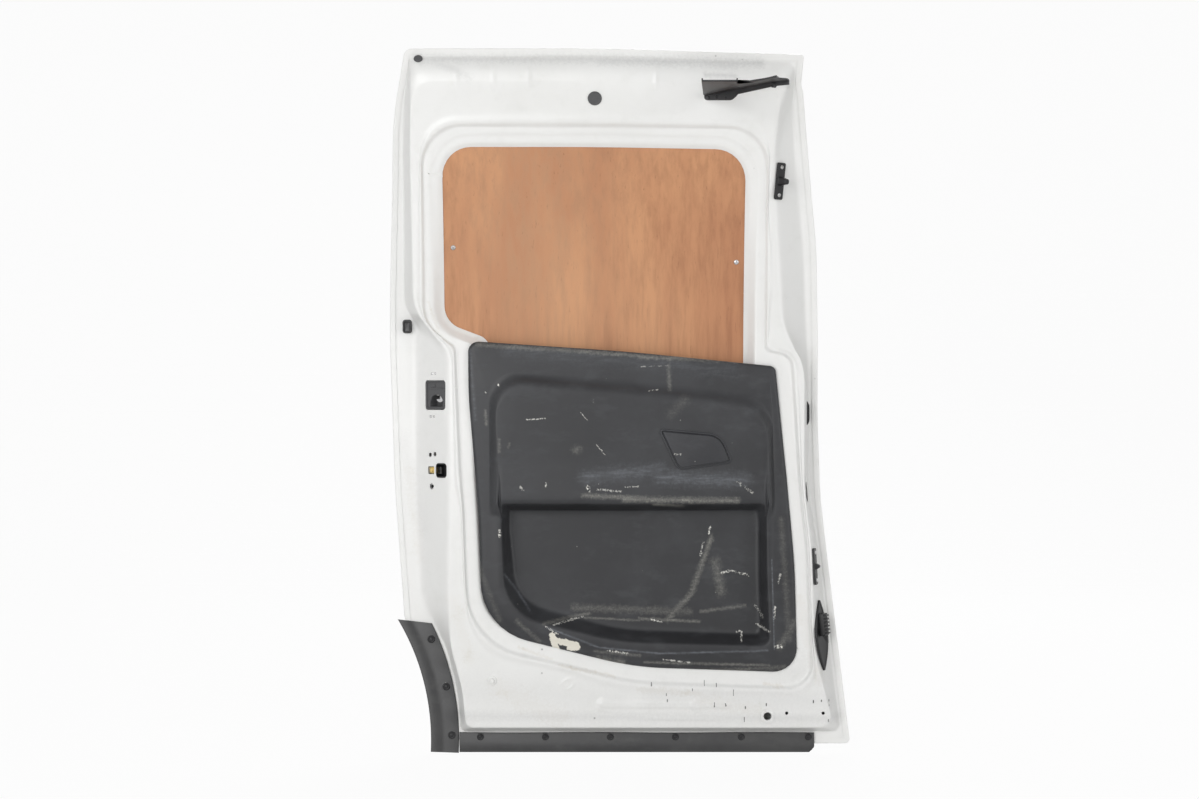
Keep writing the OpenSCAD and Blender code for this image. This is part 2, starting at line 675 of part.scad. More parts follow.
module front_cup() {
    color(white) door_frame() cup_place() difference() {
        translate([0, 10, 0]) rotate([90, 0, 0]) cylinder(r = cup_r + 3, h = 8, $fn = 64);
        translate([0, 8.5, 0]) rotate([90, 0, 0]) cylinder(r = cup_r, h = 9, $fn = 64);
    }
}

module top_plugs() {
    color(black) door_frame() {
        translate([374.6, -panel_depth(1167.3) + 0.5, 1167.3]) rotate([90 + 22, 0, 0])
            cylinder(r1 = 11, r2 = 9, h = 3, $fn = 40);
        translate([66, -panel_depth(1216) + 12, 1216]) rotate([90 + 40, 0, -10])
            cylinder(r1 = 8, r2 = 6, h = 4, $fn = 32);
    }
}

// Collar of the drain hole beside the lower arm's land
module drain_collar() {
    color(white) door_frame() difference() {
        union() {
            round_prism(collar_x, collar_z, collar_r, face_depth + boss_out, face_depth + boss_out + 2);
            round_prism(collar_x, collar_z, 8.3, face_depth - 5, face_depth + 1);
        }
        round_prism(collar_x, collar_z, 6.8, face_depth - 8, face_depth + 4);
    }
}

module painted_stud() {
    color(white) door_frame() {
        round_prism(stud_x, stud_z, stud_r, face_depth + boss_out, face_depth + boss_out + 2);
        round_prism(stud_x, stud_z, 4, face_depth + boss_out, face_depth + 7);
    }
}

module lower_arm_nut_plate() {
    color(steel) door_frame() difference() {
        translate([seat_x - 47, -face_depth + sheet_t + 0.1, seat_z - 15]) cube([92, 3, 30]);
        for (s = [-1, 1]) round_prism(seat_x + s * arm_hole_pitch / 2, seat_z, arm_hole_r, 40, 80);
    }
}

// Outer handle: a cup let into the skin with a plain flap across it
module outer_handle_cup() {
    color(black) door_frame() difference() {
        prism(rounded(shrink(handle_keys, 0.4), 5, 0), 0, 26);
        prism(rounded(shrink(handle_keys, 2.4), 5, 0), -1, 24);
    }
}

module outer_handle() {
    grip = rounded([[handle_x - 56, handle_z + 21, 12], [handle_x + 56, handle_z + 21, 12],
        [handle_x + 56, handle_z - 6, 8], [handle_x - 56, handle_z - 6, 8]], 5, 0);
    color(white) door_frame() {
        prism(grip, 0, 4);
        for (s = [-1, 1]) translate([handle_x + s * 48 - 4, -24, handle_z + 4]) cube([8, 21, 10]);
    }
}

outer_skin();
inner_panel();
belt_rail();
plywood_panel();
plywood_screws();
trim_panel();
trim_blank();
arch_seal();
sill_seal();
arch_seal_clips();
sill_seal_clips();
upper_arm();
upper_arm_bolts();
upper_wedge();
upper_wedge_screws();
lower_wedge();
lower_wedge_screws();
contact_carrier();
contact_block();
latch_housing();
latch_claw();
latch_screws();
rear_buffer();
hinge_plate();
hinge_lock_housing();
hinge_lock_lever();
front_cup();
top_plugs();
drain_collar();
painted_stud();
lower_arm_nut_plate();
outer_handle_cup();
outer_handle();
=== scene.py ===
"""Looks of a van's left sliding side door, seen from the inside of the van.

Every shape is worked out in the door's own frame, in millimetres: x from the
rear edge, y = minus the depth inboard of the outer skin, z from the skin's
bottom edge. to_metres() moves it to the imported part's frame.
"""

import logging
import math
from dataclasses import dataclass, field
from enum import Enum
from typing import Callable

import bpy
import numpy as np
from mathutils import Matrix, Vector


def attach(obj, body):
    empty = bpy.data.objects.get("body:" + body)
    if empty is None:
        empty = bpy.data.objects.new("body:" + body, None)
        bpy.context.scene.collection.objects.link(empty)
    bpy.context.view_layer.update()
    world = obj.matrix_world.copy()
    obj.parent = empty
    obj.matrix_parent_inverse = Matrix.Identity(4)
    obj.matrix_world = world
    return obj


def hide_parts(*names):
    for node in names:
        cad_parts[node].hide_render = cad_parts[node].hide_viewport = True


Finish = bpy.types.Material
Socket = bpy.types.NodeSocket

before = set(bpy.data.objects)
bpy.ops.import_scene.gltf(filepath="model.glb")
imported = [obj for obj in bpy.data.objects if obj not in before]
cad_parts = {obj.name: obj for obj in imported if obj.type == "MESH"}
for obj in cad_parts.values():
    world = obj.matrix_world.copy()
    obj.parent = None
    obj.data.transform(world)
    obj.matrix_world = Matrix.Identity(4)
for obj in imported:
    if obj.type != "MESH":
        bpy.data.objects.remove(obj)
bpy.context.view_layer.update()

log = logging.getLogger("door")
logging.basicConfig(level=logging.INFO, format="%(message)s")

BODY = "root"
SEAT_X = 754.6
SEAT_Z = 67.5
FACE_DEPTH = 60.0
SHEET = 1.2
HEM_WIDTH = 9.0
ARCH_CENTRE = (-350.0, 20.0)
ARCH_RADIUS = 431.0


# Frame and curves

def to_metres(points: np.ndarray) -> np.ndarray:
    """Door frame in millimetres to the part's frame in metres.

    Args:
        points: Points (..., 3) as x, minus depth, z.

    Returns:
        Points in metres, with the lower arm's seat as origin.
    """
    return (points + np.array([-SEAT_X, FACE_DEPTH, -SEAT_Z])) * 0.001


def spot_place(x: float, z: float) -> tuple[float, float, float]:
    """Metres of a point of the door's face, for masks in Object coordinates."""
    return ((x - SEAT_X) * 0.001, 0.0, (z - SEAT_Z) * 0.001)


def smooth(t: np.ndarray) -> np.ndarray:
    """Smoothstep: 0 below 0, 1 above 1 and 3t^2 - 2t^3 between."""
    t = np.clip(t, 0.0, 1.0)
    return t * t * (3.0 - 2.0 * t)


def unit(v: np.ndarray) -> np.ndarray:
    """Vectors along the last axis divided by their lengths."""
    return v / np.maximum(np.linalg.norm(v, axis=-1, keepdims=True), 1e-9)


def skin_depth(z: np.ndarray) -> np.ndarray:
    """Depth of the outer skin: two arcs, of 3000 mm below z 420 and 1500 mm above z 620."""
    low, high = np.maximum(420.0 - z, 0.0), np.maximum(z - 620.0, 0.0)
    return (3000.0 - np.sqrt(3000.0 ** 2 - low ** 2)) + (1500.0 - np.sqrt(1500.0 ** 2 - high ** 2))


def panel_depth(z: np.ndarray) -> np.ndarray:
    """Depth of the inner panel's face: level to z 560, then following the skin and thinning by 24."""
    bend = np.maximum(0.0, (z - 560.0) / 695.0)
    return FACE_DEPTH - 24.0 * bend + np.where(z > 560.0, skin_depth(z), 0.0)


def flange_depth(z: np.ndarray) -> np.ndarray:
    """Depth of the flange that lies in the hem, just inside the outer skin."""
    return skin_depth(z) + 1.6 + SHEET


def layer_depth(z: np.ndarray, inside: float) -> np.ndarray:
    """Depth of a layer that lies inside the skin by a constant thickness, above z 620."""
    rise = np.maximum(z - 620.0, 0.0)
    return 1500.0 - np.sqrt((1500.0 - inside) ** 2 - rise ** 2)


def return_depth(z: np.ndarray) -> np.ndarray:
    """Depth of the window's return flange, just inside the plywood."""
    return layer_depth(z, 28.0) + SHEET + 0.3


def rounded(keys: np.ndarray, arc: int = 8, edges: np.ndarray | int = 1) -> np.ndarray:
    """A closed outline whose corners are circular arcs.

    Each corner b is a rational quadratic curve from b - d1 t to b + d2 t with
    the middle weight cos of half the turn, which is an exact arc.

    Args:
        keys: Corners (n, 3) as x, z and the length t rounded off on either side.
        arc: Steps of each arc.
        edges: Points on the straight after each arc.

    Returns:
        Points (m, 2).
    """
    keys = np.asarray(keys, float)
    xy, t = keys[:, :2], keys[:, 2:3]
    d1, d2 = unit(xy - np.roll(xy, 1, 0)), unit(np.roll(xy, -1, 0) - xy)
    weight = np.sqrt((1.0 + np.sum(d1 * d2, axis=1)) / 2.0)[:, None, None]
    u = np.linspace(0.0, 1.0, arc + 1)[None, :, None]
    first, middle, last = (1 - u) ** 2, 2 * u * (1 - u) * weight, u * u
    arcs = (first * (xy - d1 * t)[:, None] + middle * xy[:, None] + last * (xy + d2 * t)[:, None])
    arcs = arcs / (first + middle + last)
    counts = np.broadcast_to(edges, len(keys))
    parts = []
    for j, count in enumerate(counts):
        start, end = arcs[j][-1], arcs[(j + 1) % len(keys)][0]
        share = np.arange(1, count + 1)[:, None] / (count + 1)
        parts += [arcs[j], start + (end - start) * share]
    return np.concatenate(parts)


def shrink(keys: np.ndarray, inset: float) -> np.ndarray:
    """Corner points moved inwards, each edge square to itself, with their roundings to suit."""
    keys = np.asarray(keys, float)
    xy = keys[:, :2]
    d1, d2 = unit(xy - np.roll(xy, 1, 0)), unit(np.roll(xy, -1, 0) - xy)
    opening = 1.0 + np.sum(d1 * d2, axis=1)
    turn = d1[:, 0] * d2[:, 1] - d1[:, 1] * d2[:, 0]
    normal = np.stack([d1[:, 1] + d2[:, 1], -d1[:, 0] - d2[:, 0]], axis=1)
    moved = xy + inset / opening[:, None] * normal
    return np.column_stack([moved, np.maximum(1.0, keys[:, 2] + inset * turn / opening)])


def toward(a: np.ndarray, b: np.ndarray, distance: float, most: float) -> np.ndarray:
    """Points on the way from a to b, by a distance or at most by a share of the way."""
    gap = np.linalg.norm(b - a, axis=-1, keepdims=True)
    return a + (b - a) * np.minimum(most, distance / np.maximum(gap, 1e-9))


def lift(loop: np.ndarray, depth: np.ndarray) -> np.ndarray:
    """An outline (n, 2) as points of the door at the given depths."""
    return np.column_stack([loop[:, 0], -np.broadcast_to(depth, len(loop)), loop[:, 1]])


def fillet(rings: np.ndarray, reach: np.ndarray | float, steps: int = 3) -> np.ndarray:
    """Rounds the folds between rings.

    Each inner ring becomes the quadratic curve from `reach` before it to
    `reach` after it, at most 0.46 of the band on either side.

    Args:
        rings: Rings (k, n, 3).
        reach: Rounded length at each ring, in millimetres.
        steps: Steps of each curve.

    Returns:
        More rings (m, n, 3).
    """
    reach = np.broadcast_to(reach, len(rings))
    out = [rings[:1]]
    u = np.linspace(0.0, 1.0, steps + 1)[:, None, None]
    for before, here, after, length in zip(rings[:-2], rings[1:-1], rings[2:], reach[1:-1]):
        start = toward(here, before, length, 0.46)
        end = toward(here, after, length, 0.46)
        out.append((1 - u) ** 2 * start + 2 * u * (1 - u) * here + u * u * end)
    return np.concatenate(out + [rings[-1:]])


def refine(rings: np.ndarray, size: float) -> np.ndarray:
    """Splits each band between rings into steps no wider than size at its widest point."""
    out = []
    for a, b in zip(rings[:-1], rings[1:]):
        count = max(1, math.ceil(np.max(np.linalg.norm(b - a, axis=1)) / size))
        u = np.arange(count)[:, None, None] / count
        out.append(a + (b - a) * u)
    return np.concatenate(out + [rings[-1:]])


def ridge(x: np.ndarray, z: np.ndarray, a: tuple, b: tuple, radius: float, edge: float) -> np.ndarray:
    """A round-ended ridge from a to b: 1 along its middle, falling to 0 over edge at radius."""
    ax, az = a
    along = np.array([b[0] - ax, b[1] - az])
    share = np.clip(((x - ax) * along[0] + (z - az) * along[1]) / max(along @ along, 1e-9), 0.0, 1.0)
    gap = np.hypot(x - ax - share * along[0], z - az - share * along[1])
    return smooth((radius - gap) / edge)


# Solids and objects

@dataclass
class Solid:
    """A closed mesh: points in the door's frame and faces of three or four corners."""

    points: np.ndarray
    quads: np.ndarray
    tris: np.ndarray

    def outward(self) -> "Solid":
        """The same solid with its faces turned outwards, told by the sign of its volume."""
        p = self.points
        a, b, c = (p[self.tris[:, i]] for i in range(3)) if len(self.tris) else [np.zeros((1, 3))] * 3
        volume = np.sum(a * np.cross(b, c))
        if len(self.quads):
            q = [p[self.quads[:, i]] for i in range(4)]
            volume += np.sum(q[0] * np.cross(q[1], q[2])) + np.sum(q[0] * np.cross(q[2], q[3]))
        if volume >= 0:
            return self
        return Solid(self.points, self.quads[:, ::-1], self.tris[:, ::-1])


def ring_quads(rows: int, count: int, start: int = 0, closed: bool = False) -> np.ndarray:
    """Quads of rows rings of count points, which close round, and onto the first ring if closed."""
    k, i = np.meshgrid(np.arange(rows if closed else rows - 1), np.arange(count), indexing="ij")
    k, i = k.ravel(), i.ravel()
    below, beside = (k + 1) % rows, (i + 1) % count
    return start + np.stack([k * count + i, below * count + i, below * count + beside, k * count + beside], 1)


def loft(rings: np.ndarray, torus: bool = False) -> Solid:
    """A skin over rings (k, n, 3): its ends are closed by fans, or it joins up as a torus."""
    rows, count = rings.shape[:2]
    points = rings.reshape(-1, 3)
    quads = ring_quads(rows, count, closed=torus)
    if torus:
        return Solid(points, quads, np.zeros((0, 3), int)).outward()
    i = np.arange(count)
    j = (i + 1) % count
    last = (rows - 1) * count
    top, end = len(points), len(points) + 1
    fans = [np.stack([np.full(count, top), i, j], 1), np.stack([np.full(count, end), last + j, last + i], 1)]
    points = np.concatenate([points, rings[0].mean(0)[None], rings[-1].mean(0)[None]])
    return Solid(points, quads, np.concatenate(fans)).outward()


def sheet(front: np.ndarray, back: np.ndarray, middle: np.ndarray | None = None) -> Solid:
    """A sheet between its front rings and back rings, which share their number round.

    The first rings are joined, and so are the last ones, or with `middle` each
    side is closed over its own middle point.
    """
    count = front.shape[1]
    f, b = front.reshape(-1, 3), back.reshape(-1, 3)
    quads = [ring_quads(len(front), count), ring_quads(len(back), count, len(f))[:, ::-1]]
    i = np.arange(count)
    j = (i + 1) % count
    quads.append(np.stack([i, j, len(f) + j, len(f) + i], 1))
    points = [f, b]
    ends = len(f) - count + np.stack([i, j], 1), len(f) + len(b) - count + np.stack([i, j], 1)
    tris = np.zeros((0, 3), int)
    if middle is None:
        quads.append(np.stack([ends[0][:, 1], ends[0][:, 0], ends[1][:, 0], ends[1][:, 1]], 1))
    else:
        points.append(middle)
        top = len(f) + len(b)
        tris = np.concatenate([np.column_stack([ends[0], np.full(count, top)]),
                               np.column_stack([ends[1][:, ::-1], np.full(count, top + 1)])])
        tris[:count] = tris[:count, [1, 0, 2]]
        tris[count:] = tris[count:, [1, 0, 2]]
    return Solid(np.concatenate(points), np.concatenate(quads), tris).outward()


@dataclass(frozen=True)
class Place:
    """Where a fitting sits: local u runs across, out stands off the door and v runs up."""

    x: float
    depth: float
    z: float
    turns: tuple[tuple[float, float, float], ...] = ()

    def matrix(self) -> np.ndarray:
        """The product of the turns, each about x, then y, then z, in degrees."""
        m = np.eye(3)
        for turn in self.turns:
            angles = [math.radians(a) for a in turn]
            (cx, sx), (cy, sy), (cz, sz) = ((math.cos(a), math.sin(a)) for a in angles)
            about_x = np.array([[1, 0, 0], [0, cx, -sx], [0, sx, cx]])
            about_y = np.array([[cy, 0, sy], [0, 1, 0], [-sy, 0, cy]])
            about_z = np.array([[cz, -sz, 0], [sz, cz, 0], [0, 0, 1]])
            m = m @ about_z @ about_y @ about_x
        return m

    def put(self, u: np.ndarray, out: np.ndarray, v: np.ndarray) -> np.ndarray:
        """Local coordinates to points of the door."""
        u, out, v = np.broadcast_arrays(np.asarray(u, float), np.asarray(out, float), np.asarray(v, float))
        local = np.stack([u, -out, v], axis=-1)
        return local @ self.matrix().T + np.array([self.x, -self.depth, self.z])

    def at(self, u: float, out: float, v: float) -> "Place":
        """A place with the same turns at a local point of this one."""
        p = self.put(u, out, v)
        return Place(float(p[0]), float(-p[1]), float(p[2]), self.turns)


WALL_ANGLE = math.degrees(math.atan2(FACE_DEPTH - 3.6, 115.0 - 43.0))


def rear_wall(x: float, z: float) -> Place:
    """A place on the flat part of the slanted rear wall."""
    share = (x - 43.0) / (115.0 - 43.0)
    return Place(x, 3.6 + (FACE_DEPTH - 3.6) * share, z, ((0, 0, -WALL_ANGLE),))


def front_wall(x: float, z: float, depth: float, turn: float, lean: float) -> Place:
    """A place on the steep front wall, turned round to face forward and leant back."""
    return Place(x, depth, z, ((0, 0, turn), (lean, 0, 0)))


@dataclass(frozen=True)
class Plug:
    """A round plug of the top band: its place, its head's radius and its neck's."""

    place: Place
    head: float
    neck: float


CUP_PLACE = front_wall(759, 467, 35, 78, -2.6)
LATCH_PLACE = rear_wall(84, 643)
DRAIN = (687, 62)
STUD = (188.8, 126.4)
PLUGS = (Plug(front_wall(374.6, 1167.3, 142.7, 0, 19.6), 12.5, 9.0),
         Plug(front_wall(62.5, 1236.5, 142.6, 0, -33), 8.0, 5.5))


def moulding(place: Place, keys: np.ndarray, levels: list[tuple[float, float]], arc: int = 6) -> Solid:
    """A moulded block: one outline at several heights, each moved inwards by its own inset.

    Args:
        place: Where the block sits.
        keys: Corners (u, v, rounding) of its outline, clockwise.
        levels: (inset, height) of each ring, from its foot to its top.
        arc: Steps of each rounded corner.
    """
    rings = []
    for inset, height in levels:
        loop = rounded(shrink(keys, inset), arc, 0)
        rings.append(place.put(loop[:, 0], height, loop[:, 1]))
    return loft(np.array(rings))


def oblong(w: float, h: float, r: float, u: float = 0.0, v: float = 0.0) -> np.ndarray:
    """Corners of a rounded rectangle of width w and height h round (u, v), clockwise."""
    return np.array([[u - w / 2, v + h / 2, r], [u + w / 2, v + h / 2, r],
                     [u + w / 2, v - h / 2, r], [u - w / 2, v - h / 2, r]])


def turned(place: Place, profile: list[tuple[float, float]], count: int = 32) -> Solid:
    """A turned piece: profile (radius, height) spun round the place's out axis."""
    angle = np.linspace(0.0, 2 * math.pi, count, endpoint=False)[::-1]
    rings = [place.put(r * np.cos(angle), h, r * np.sin(angle)) for r, h in profile]
    return loft(np.array(rings))


def make(name: str, solids: list[Solid], finish: Finish,
         crease: float = 35.0) -> bpy.types.Object:
    """One mesh object of several solids, smooth up to the crease angle.

    Args:
        name: The object's name.
        solids: Closed solids in the door's frame.
        finish: Its material.
        crease: Angle in degrees above which an edge stays sharp.
    """
    corners, starts, totals, points, base, count = [], [], [], [], 0, 0
    for solid in solids:
        points.append(solid.points)
        for faces in (solid.quads, solid.tris):
            if len(faces):
                corners.append((faces + base).ravel())
                starts.append(count + np.arange(len(faces)) * faces.shape[1])
                totals.append(np.full(len(faces), faces.shape[1]))
                count += faces.size
        base += len(solid.points)
    mesh = bpy.data.meshes.new(name)
    co = to_metres(np.concatenate(points)).astype(np.float32)
    mesh.vertices.add(len(co))
    mesh.vertices.foreach_set("co", co.ravel())
    mesh.loops.add(count)
    mesh.loops.foreach_set("vertex_index", np.concatenate(corners).astype(np.int32))
    starts = np.concatenate(starts).astype(np.int32)
    mesh.polygons.add(len(starts))
    mesh.polygons.foreach_set("loop_start", starts)
    mesh.update(calc_edges=True)
    mesh.validate()
    mesh.materials.append(finish)
    piece = bpy.data.objects.new(name, mesh)
    bpy.context.scene.collection.objects.link(piece)
    crease_edges(piece, crease)
    return piece


def crease_edges(piece: bpy.types.Object, crease: float) -> None:
    """Shades a piece smooth and keeps the edges sharper than crease degrees."""
    mesh = piece.data
    mesh.polygons.foreach_set("use_smooth", np.ones(len(mesh.polygons), bool))
    mesh.set_sharp_from_angle(angle=math.radians(crease))


class Keep(Enum):
    """What a cut leaves of a piece: what is outside the cutters or what is inside them."""

    OUTSIDE = "DIFFERENCE"
    INSIDE = "INTERSECT"


def cut(piece: bpy.types.Object, cutters: list[Solid], keep: Keep = Keep.OUTSIDE,
        crease: float = 35.0) -> None:
    """Cuts a piece with solids that don't touch one another.

    Args:
        piece: The piece, whose mesh is replaced.
        cutters: Closed solids in the door's frame.
        keep: The side that is kept.
        crease: Angle in degrees above which an edge stays sharp.
    """
    tool = make("cutter", cutters, piece.data.materials[0])
    modifier = piece.modifiers.new("cut", "BOOLEAN")
    modifier.operation = keep.value
    modifier.solver = "MANIFOLD"
    modifier.object = tool
    bpy.context.view_layer.update()
    result = bpy.data.meshes.new_from_object(piece.evaluated_get(bpy.context.evaluated_depsgraph_get()))
    piece.modifiers.clear()
    old = piece.data
    piece.data = result
    result.name = old.name
    bpy.data.meshes.remove(old)
    bpy.data.objects.remove(tool)
    crease_edges(piece, crease)


def settle(piece: bpy.types.Object, slot: str, *nodes: str) -> None:
    """Rides a finished piece on the door and hides the CAD nodes it stands for; slot is not used."""
    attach(piece, BODY)
    if nodes:
        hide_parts(*nodes)
    log.info("%s: %d faces", piece.name, len(piece.data.polygons))


# Node trees

Value = "Socket | float | tuple[float, ...]"


class Graph:
    """A node tree with short calls that make nodes and join them."""

    def __init__(self, tree: bpy.types.NodeTree) -> None:
        """Keeps the tree that nodes are added to."""
        self.tree = tree

    def feed(self, socket: Socket, value: Value) -> None:
        """Links a socket to an input, or sets the input's own value."""
        if isinstance(value, Socket):
            self.tree.links.new(value, socket)
        else:
            socket.default_value = value

    def node(self, kind: str, inputs: dict, **settings) -> bpy.types.Node:
        """Adds a shader node.

        Args:
            kind: The node's type, without its ShaderNode prefix.
            inputs: Values or sockets by input name or number.
            **settings: Properties set before the inputs.
        """
        made = self.tree.nodes.new("ShaderNode" + kind)
        for key, value in settings.items():
            setattr(made, key, value)
        for key, value in inputs.items():
            self.feed(made.inputs[key], value)
        return made

    def math(self, operation: str, a: Value, b: Value = 0.0) -> Socket:
        """One operation on numbers, kept between 0 and 1."""
        return self.node("Math", {0: a, 1: b}, operation=operation, use_clamp=True).outputs[0]

    def mix(self, share: Value, a: Value, b: Value) -> Socket:
        """Two colours mixed by a share."""
        made = self.node("Mix", {}, data_type="RGBA")
        self.feed(made.inputs["Factor"], share)
        self.feed(made.inputs[6], a if isinstance(a, Socket) else (*a, 1.0))
        self.feed(made.inputs[7], b if isinstance(b, Socket) else (*b, 1.0))
        return made.outputs[2]

    def blend(self, share: Value, a: Value, b: Value) -> Socket:
        """Two numbers mixed by a share."""
        return self.node("Mix", {"Factor": share, 2: a, 3: b}, data_type="FLOAT").outputs[0]

    def ramp(self, value: Value, low: Value, high: Value) -> Socket:
        """0 at low and 1 at high, smooth between."""
        inputs = {"Value": value, "From Min": low, "From Max": high}
        return self.node("MapRange", inputs, interpolation_type="SMOOTHSTEP").outputs[0]

    def group(self, tree: bpy.types.NodeTree, inputs: dict) -> Socket:
        """Places a node group and gives its first output."""
        made = self.node("Group", {}, node_tree=tree)
        for key, value in inputs.items():
            self.feed(made.inputs[key], value)
        return made.outputs[0]


def new_group(name: str, numbers: dict[str, float], vectors: dict[str, tuple],
              fill: Callable) -> bpy.types.NodeTree:
    """A node group with a Vector input, named numbers and vectors, and one Mask output.

    Args:
        name: The group's name.
        numbers: Number inputs and their defaults.
        vectors: Further vector inputs and their defaults.
        fill: Called with the graph and the input sockets by name; gives the mask.
    """
    tree = bpy.data.node_groups.new(name, "ShaderNodeTree")
    face = tree.interface
    face.new_socket("Vector", in_out="INPUT", socket_type="NodeSocketVector")
    for key, value in vectors.items():
        face.new_socket(key, in_out="INPUT", socket_type="NodeSocketVector").default_value = value
    for key, value in numbers.items():
        face.new_socket(key, in_out="INPUT", socket_type="NodeSocketFloat").default_value = value
    face.new_socket("Mask", in_out="OUTPUT", socket_type="NodeSocketFloat")
    graph = Graph(tree)
    entry = tree.nodes.new("NodeGroupInput")
    out = tree.nodes.new("NodeGroupOutput")
    tree.links.new(fill(graph, {s.name: s for s in entry.outputs}), out.inputs["Mask"])
    return tree


def cloud_group() -> bpy.types.NodeTree:
    """Patches of dust or dirt: fractal noise between two levels."""
    def fill(g: Graph, s: dict) -> Socket:
        """Stretched noise, cut softly between Low and High."""
        stretched = g.node("VectorMath", {0: s["Vector"], 1: s["Stretch"]}, operation="MULTIPLY").outputs[0]
        noise = g.node("TexNoise", {"Vector": stretched, "Scale": s["Scale"], "Detail": 6.0,
                                    "Roughness": 0.62})
        return g.ramp(noise.outputs[0], s["Low"], s["High"])
    return new_group("cloud", {"Scale": 8.0, "Low": 0.45, "High": 0.7}, {"Stretch": (1.0, 1.0, 1.0)}, fill)


def spot_group() -> bpy.types.NodeTree:
    """One mark: an ellipse with a ragged edge."""
    def fill(g: Graph, s: dict) -> Socket:
        """Distance from Centre in units of Size, bent by noise, cut softly at 1."""
        noise = g.node("TexNoise", {"Vector": s["Vector"], "Scale": s["Rag"], "Detail": 4.0})
        moved = g.node("VectorMath", {0: s["Vector"], 1: s["Centre"]}, operation="SUBTRACT").outputs[0]
        shares = g.node("VectorMath", {0: moved, 1: s["Size"]}, operation="DIVIDE").outputs[0]
        far = g.node("VectorMath", {0: shares}, operation="LENGTH").outputs[1]
        wave = g.node("Math", {0: noise.outputs[0], 1: -1.6, 2: 0.8}, operation="MULTIPLY_ADD").outputs[0]
        bent = g.node("Math", {0: far, 1: wave}, operation="ADD").outputs[0]
        return g.ramp(bent, 1.0, s["Inner"])
    return new_group("spot", {"Rag": 60.0, "Inner": 0.7},
                     {"Centre": (0.0, 0.0, 0.0), "Size": (0.01, 9.0, 0.01)}, fill)


def stroke_group() -> bpy.types.NodeTree:
    """One brushed mark: the distance from a line between two points of the face."""
    def fill(g: Graph, s: dict) -> Socket:
        """Distance from the line over Half, moved by Bend, cut softly between 1 and Inner."""
        moved = g.node("VectorMath", {0: s["Vector"], 1: s["Start"]}, operation="SUBTRACT").outputs[0]
        flat = g.node("VectorMath", {0: moved, 1: (1.0, 0.0, 1.0)}, operation="MULTIPLY").outputs[0]
        dot = g.node("VectorMath", {0: flat, 1: s["Along"]}, operation="DOT_PRODUCT").outputs[1]
        share = g.math("MULTIPLY", dot, s["Over"])
        near = g.node("VectorMath", {0: s["Along"], "Scale": share}, operation="SCALE").outputs[0]
        gap = g.node("VectorMath", {0: flat, 1: near}, operation="SUBTRACT").outputs[0]
        far = g.node("VectorMath", {0: gap}, operation="LENGTH").outputs[1]
        ratio = g.node("Math", {0: far, 1: s["Half"]}, operation="DIVIDE").outputs[0]
        bent = g.node("Math", {0: ratio, 1: s["Bend"]}, operation="ADD").outputs[0]
        return g.math("MULTIPLY", g.ramp(bent, 1.0, s["Inner"]), s["Strength"])
    return new_group("stroke", {"Over": 1.0, "Half": 0.01, "Bend": 0.0, "Inner": 0.3, "Strength": 1.0},
                     {"Start": (0.0, 0.0, 0.0), "Along": (0.01, 0.0, 0.0)}, fill)


def fleck_group() -> bpy.types.NodeTree:
    """Small flecks: random cells whose middle is nearer than Size."""
    def fill(g: Graph, s: dict) -> Socket:
        """Voronoi distance under Size in the cells whose random colour passes Share."""
        cell = g.node("TexVoronoi", {"Vector": s["Vector"], "Scale": s["Scale"]})
        near = g.ramp(cell.outputs["Distance"], s["Size"], 0.0)
        red = g.node("SeparateColor", {0: cell.outputs["Color"]}).outputs[0]
        chosen = g.node("Math", {0: red, 1: s["Share"]}, operation="LESS_THAN").outputs[0]
        return g.math("MULTIPLY", near, chosen)
    return new_group("fleck", {"Scale": 60.0, "Size": 0.2, "Share": 0.3}, {}, fill)


@dataclass(frozen=True)
class Stroke:
    """One brushed mark on the face, from a to b, in millimetres."""

    ax: float
    az: float
    bx: float
    bz: float
    half: float
    strength: float = 1.0


def strokes(*rows: tuple[float, ...]) -> tuple[Stroke, ...]:
    """Strokes from rows of their values."""
    return tuple(Stroke(*row) for row in rows)


class Effects:
    """The node groups that the materials share."""

    def __init__(self) -> None:
        """Builds every group once."""
        self.cloud = cloud_group()
        self.spot = spot_group()
        self.stroke = stroke_group()
        self.fleck = fleck_group()

    def brushed(self, g: Graph, where: Socket, marks: tuple[Stroke, ...], rag: float,
                inner: float = 0.2) -> Socket | float:
        """The largest of the masks of several strokes, whose edges one noise bends.

        Args:
            g: The material's graph.
            where: Object coordinates.
            marks: The strokes.
            rag: How far the edges are bent, as a share of each stroke's half width.
            inner: Share of the half width where a stroke is full.
        """
        noise = g.node("TexNoise", {"Vector": where, "Scale": 190.0, "Detail": 5.0, "Roughness": 0.7})
        spread = {0: noise.outputs[0], 1: 2.0 * rag, 2: -rag}
        bend = g.node("Math", spread, operation="MULTIPLY_ADD").outputs[0]
        total: Socket | float = 0.0
        for mark in marks:
            dx, dz = (mark.bx - mark.ax) * 0.001, (mark.bz - mark.az) * 0.001
            over = 1.0 / max(dx * dx + dz * dz, 1e-8)
            one = g.group(self.stroke, {"Vector": where, "Start": spot_place(mark.ax, mark.az),
                                        "Along": (dx, 0.0, dz), "Over": over, "Half": mark.half * 0.001,
                                        "Bend": bend, "Inner": inner, "Strength": mark.strength})
            total = one if isinstance(total, float) else g.math("MAXIMUM", total, one)
        return total


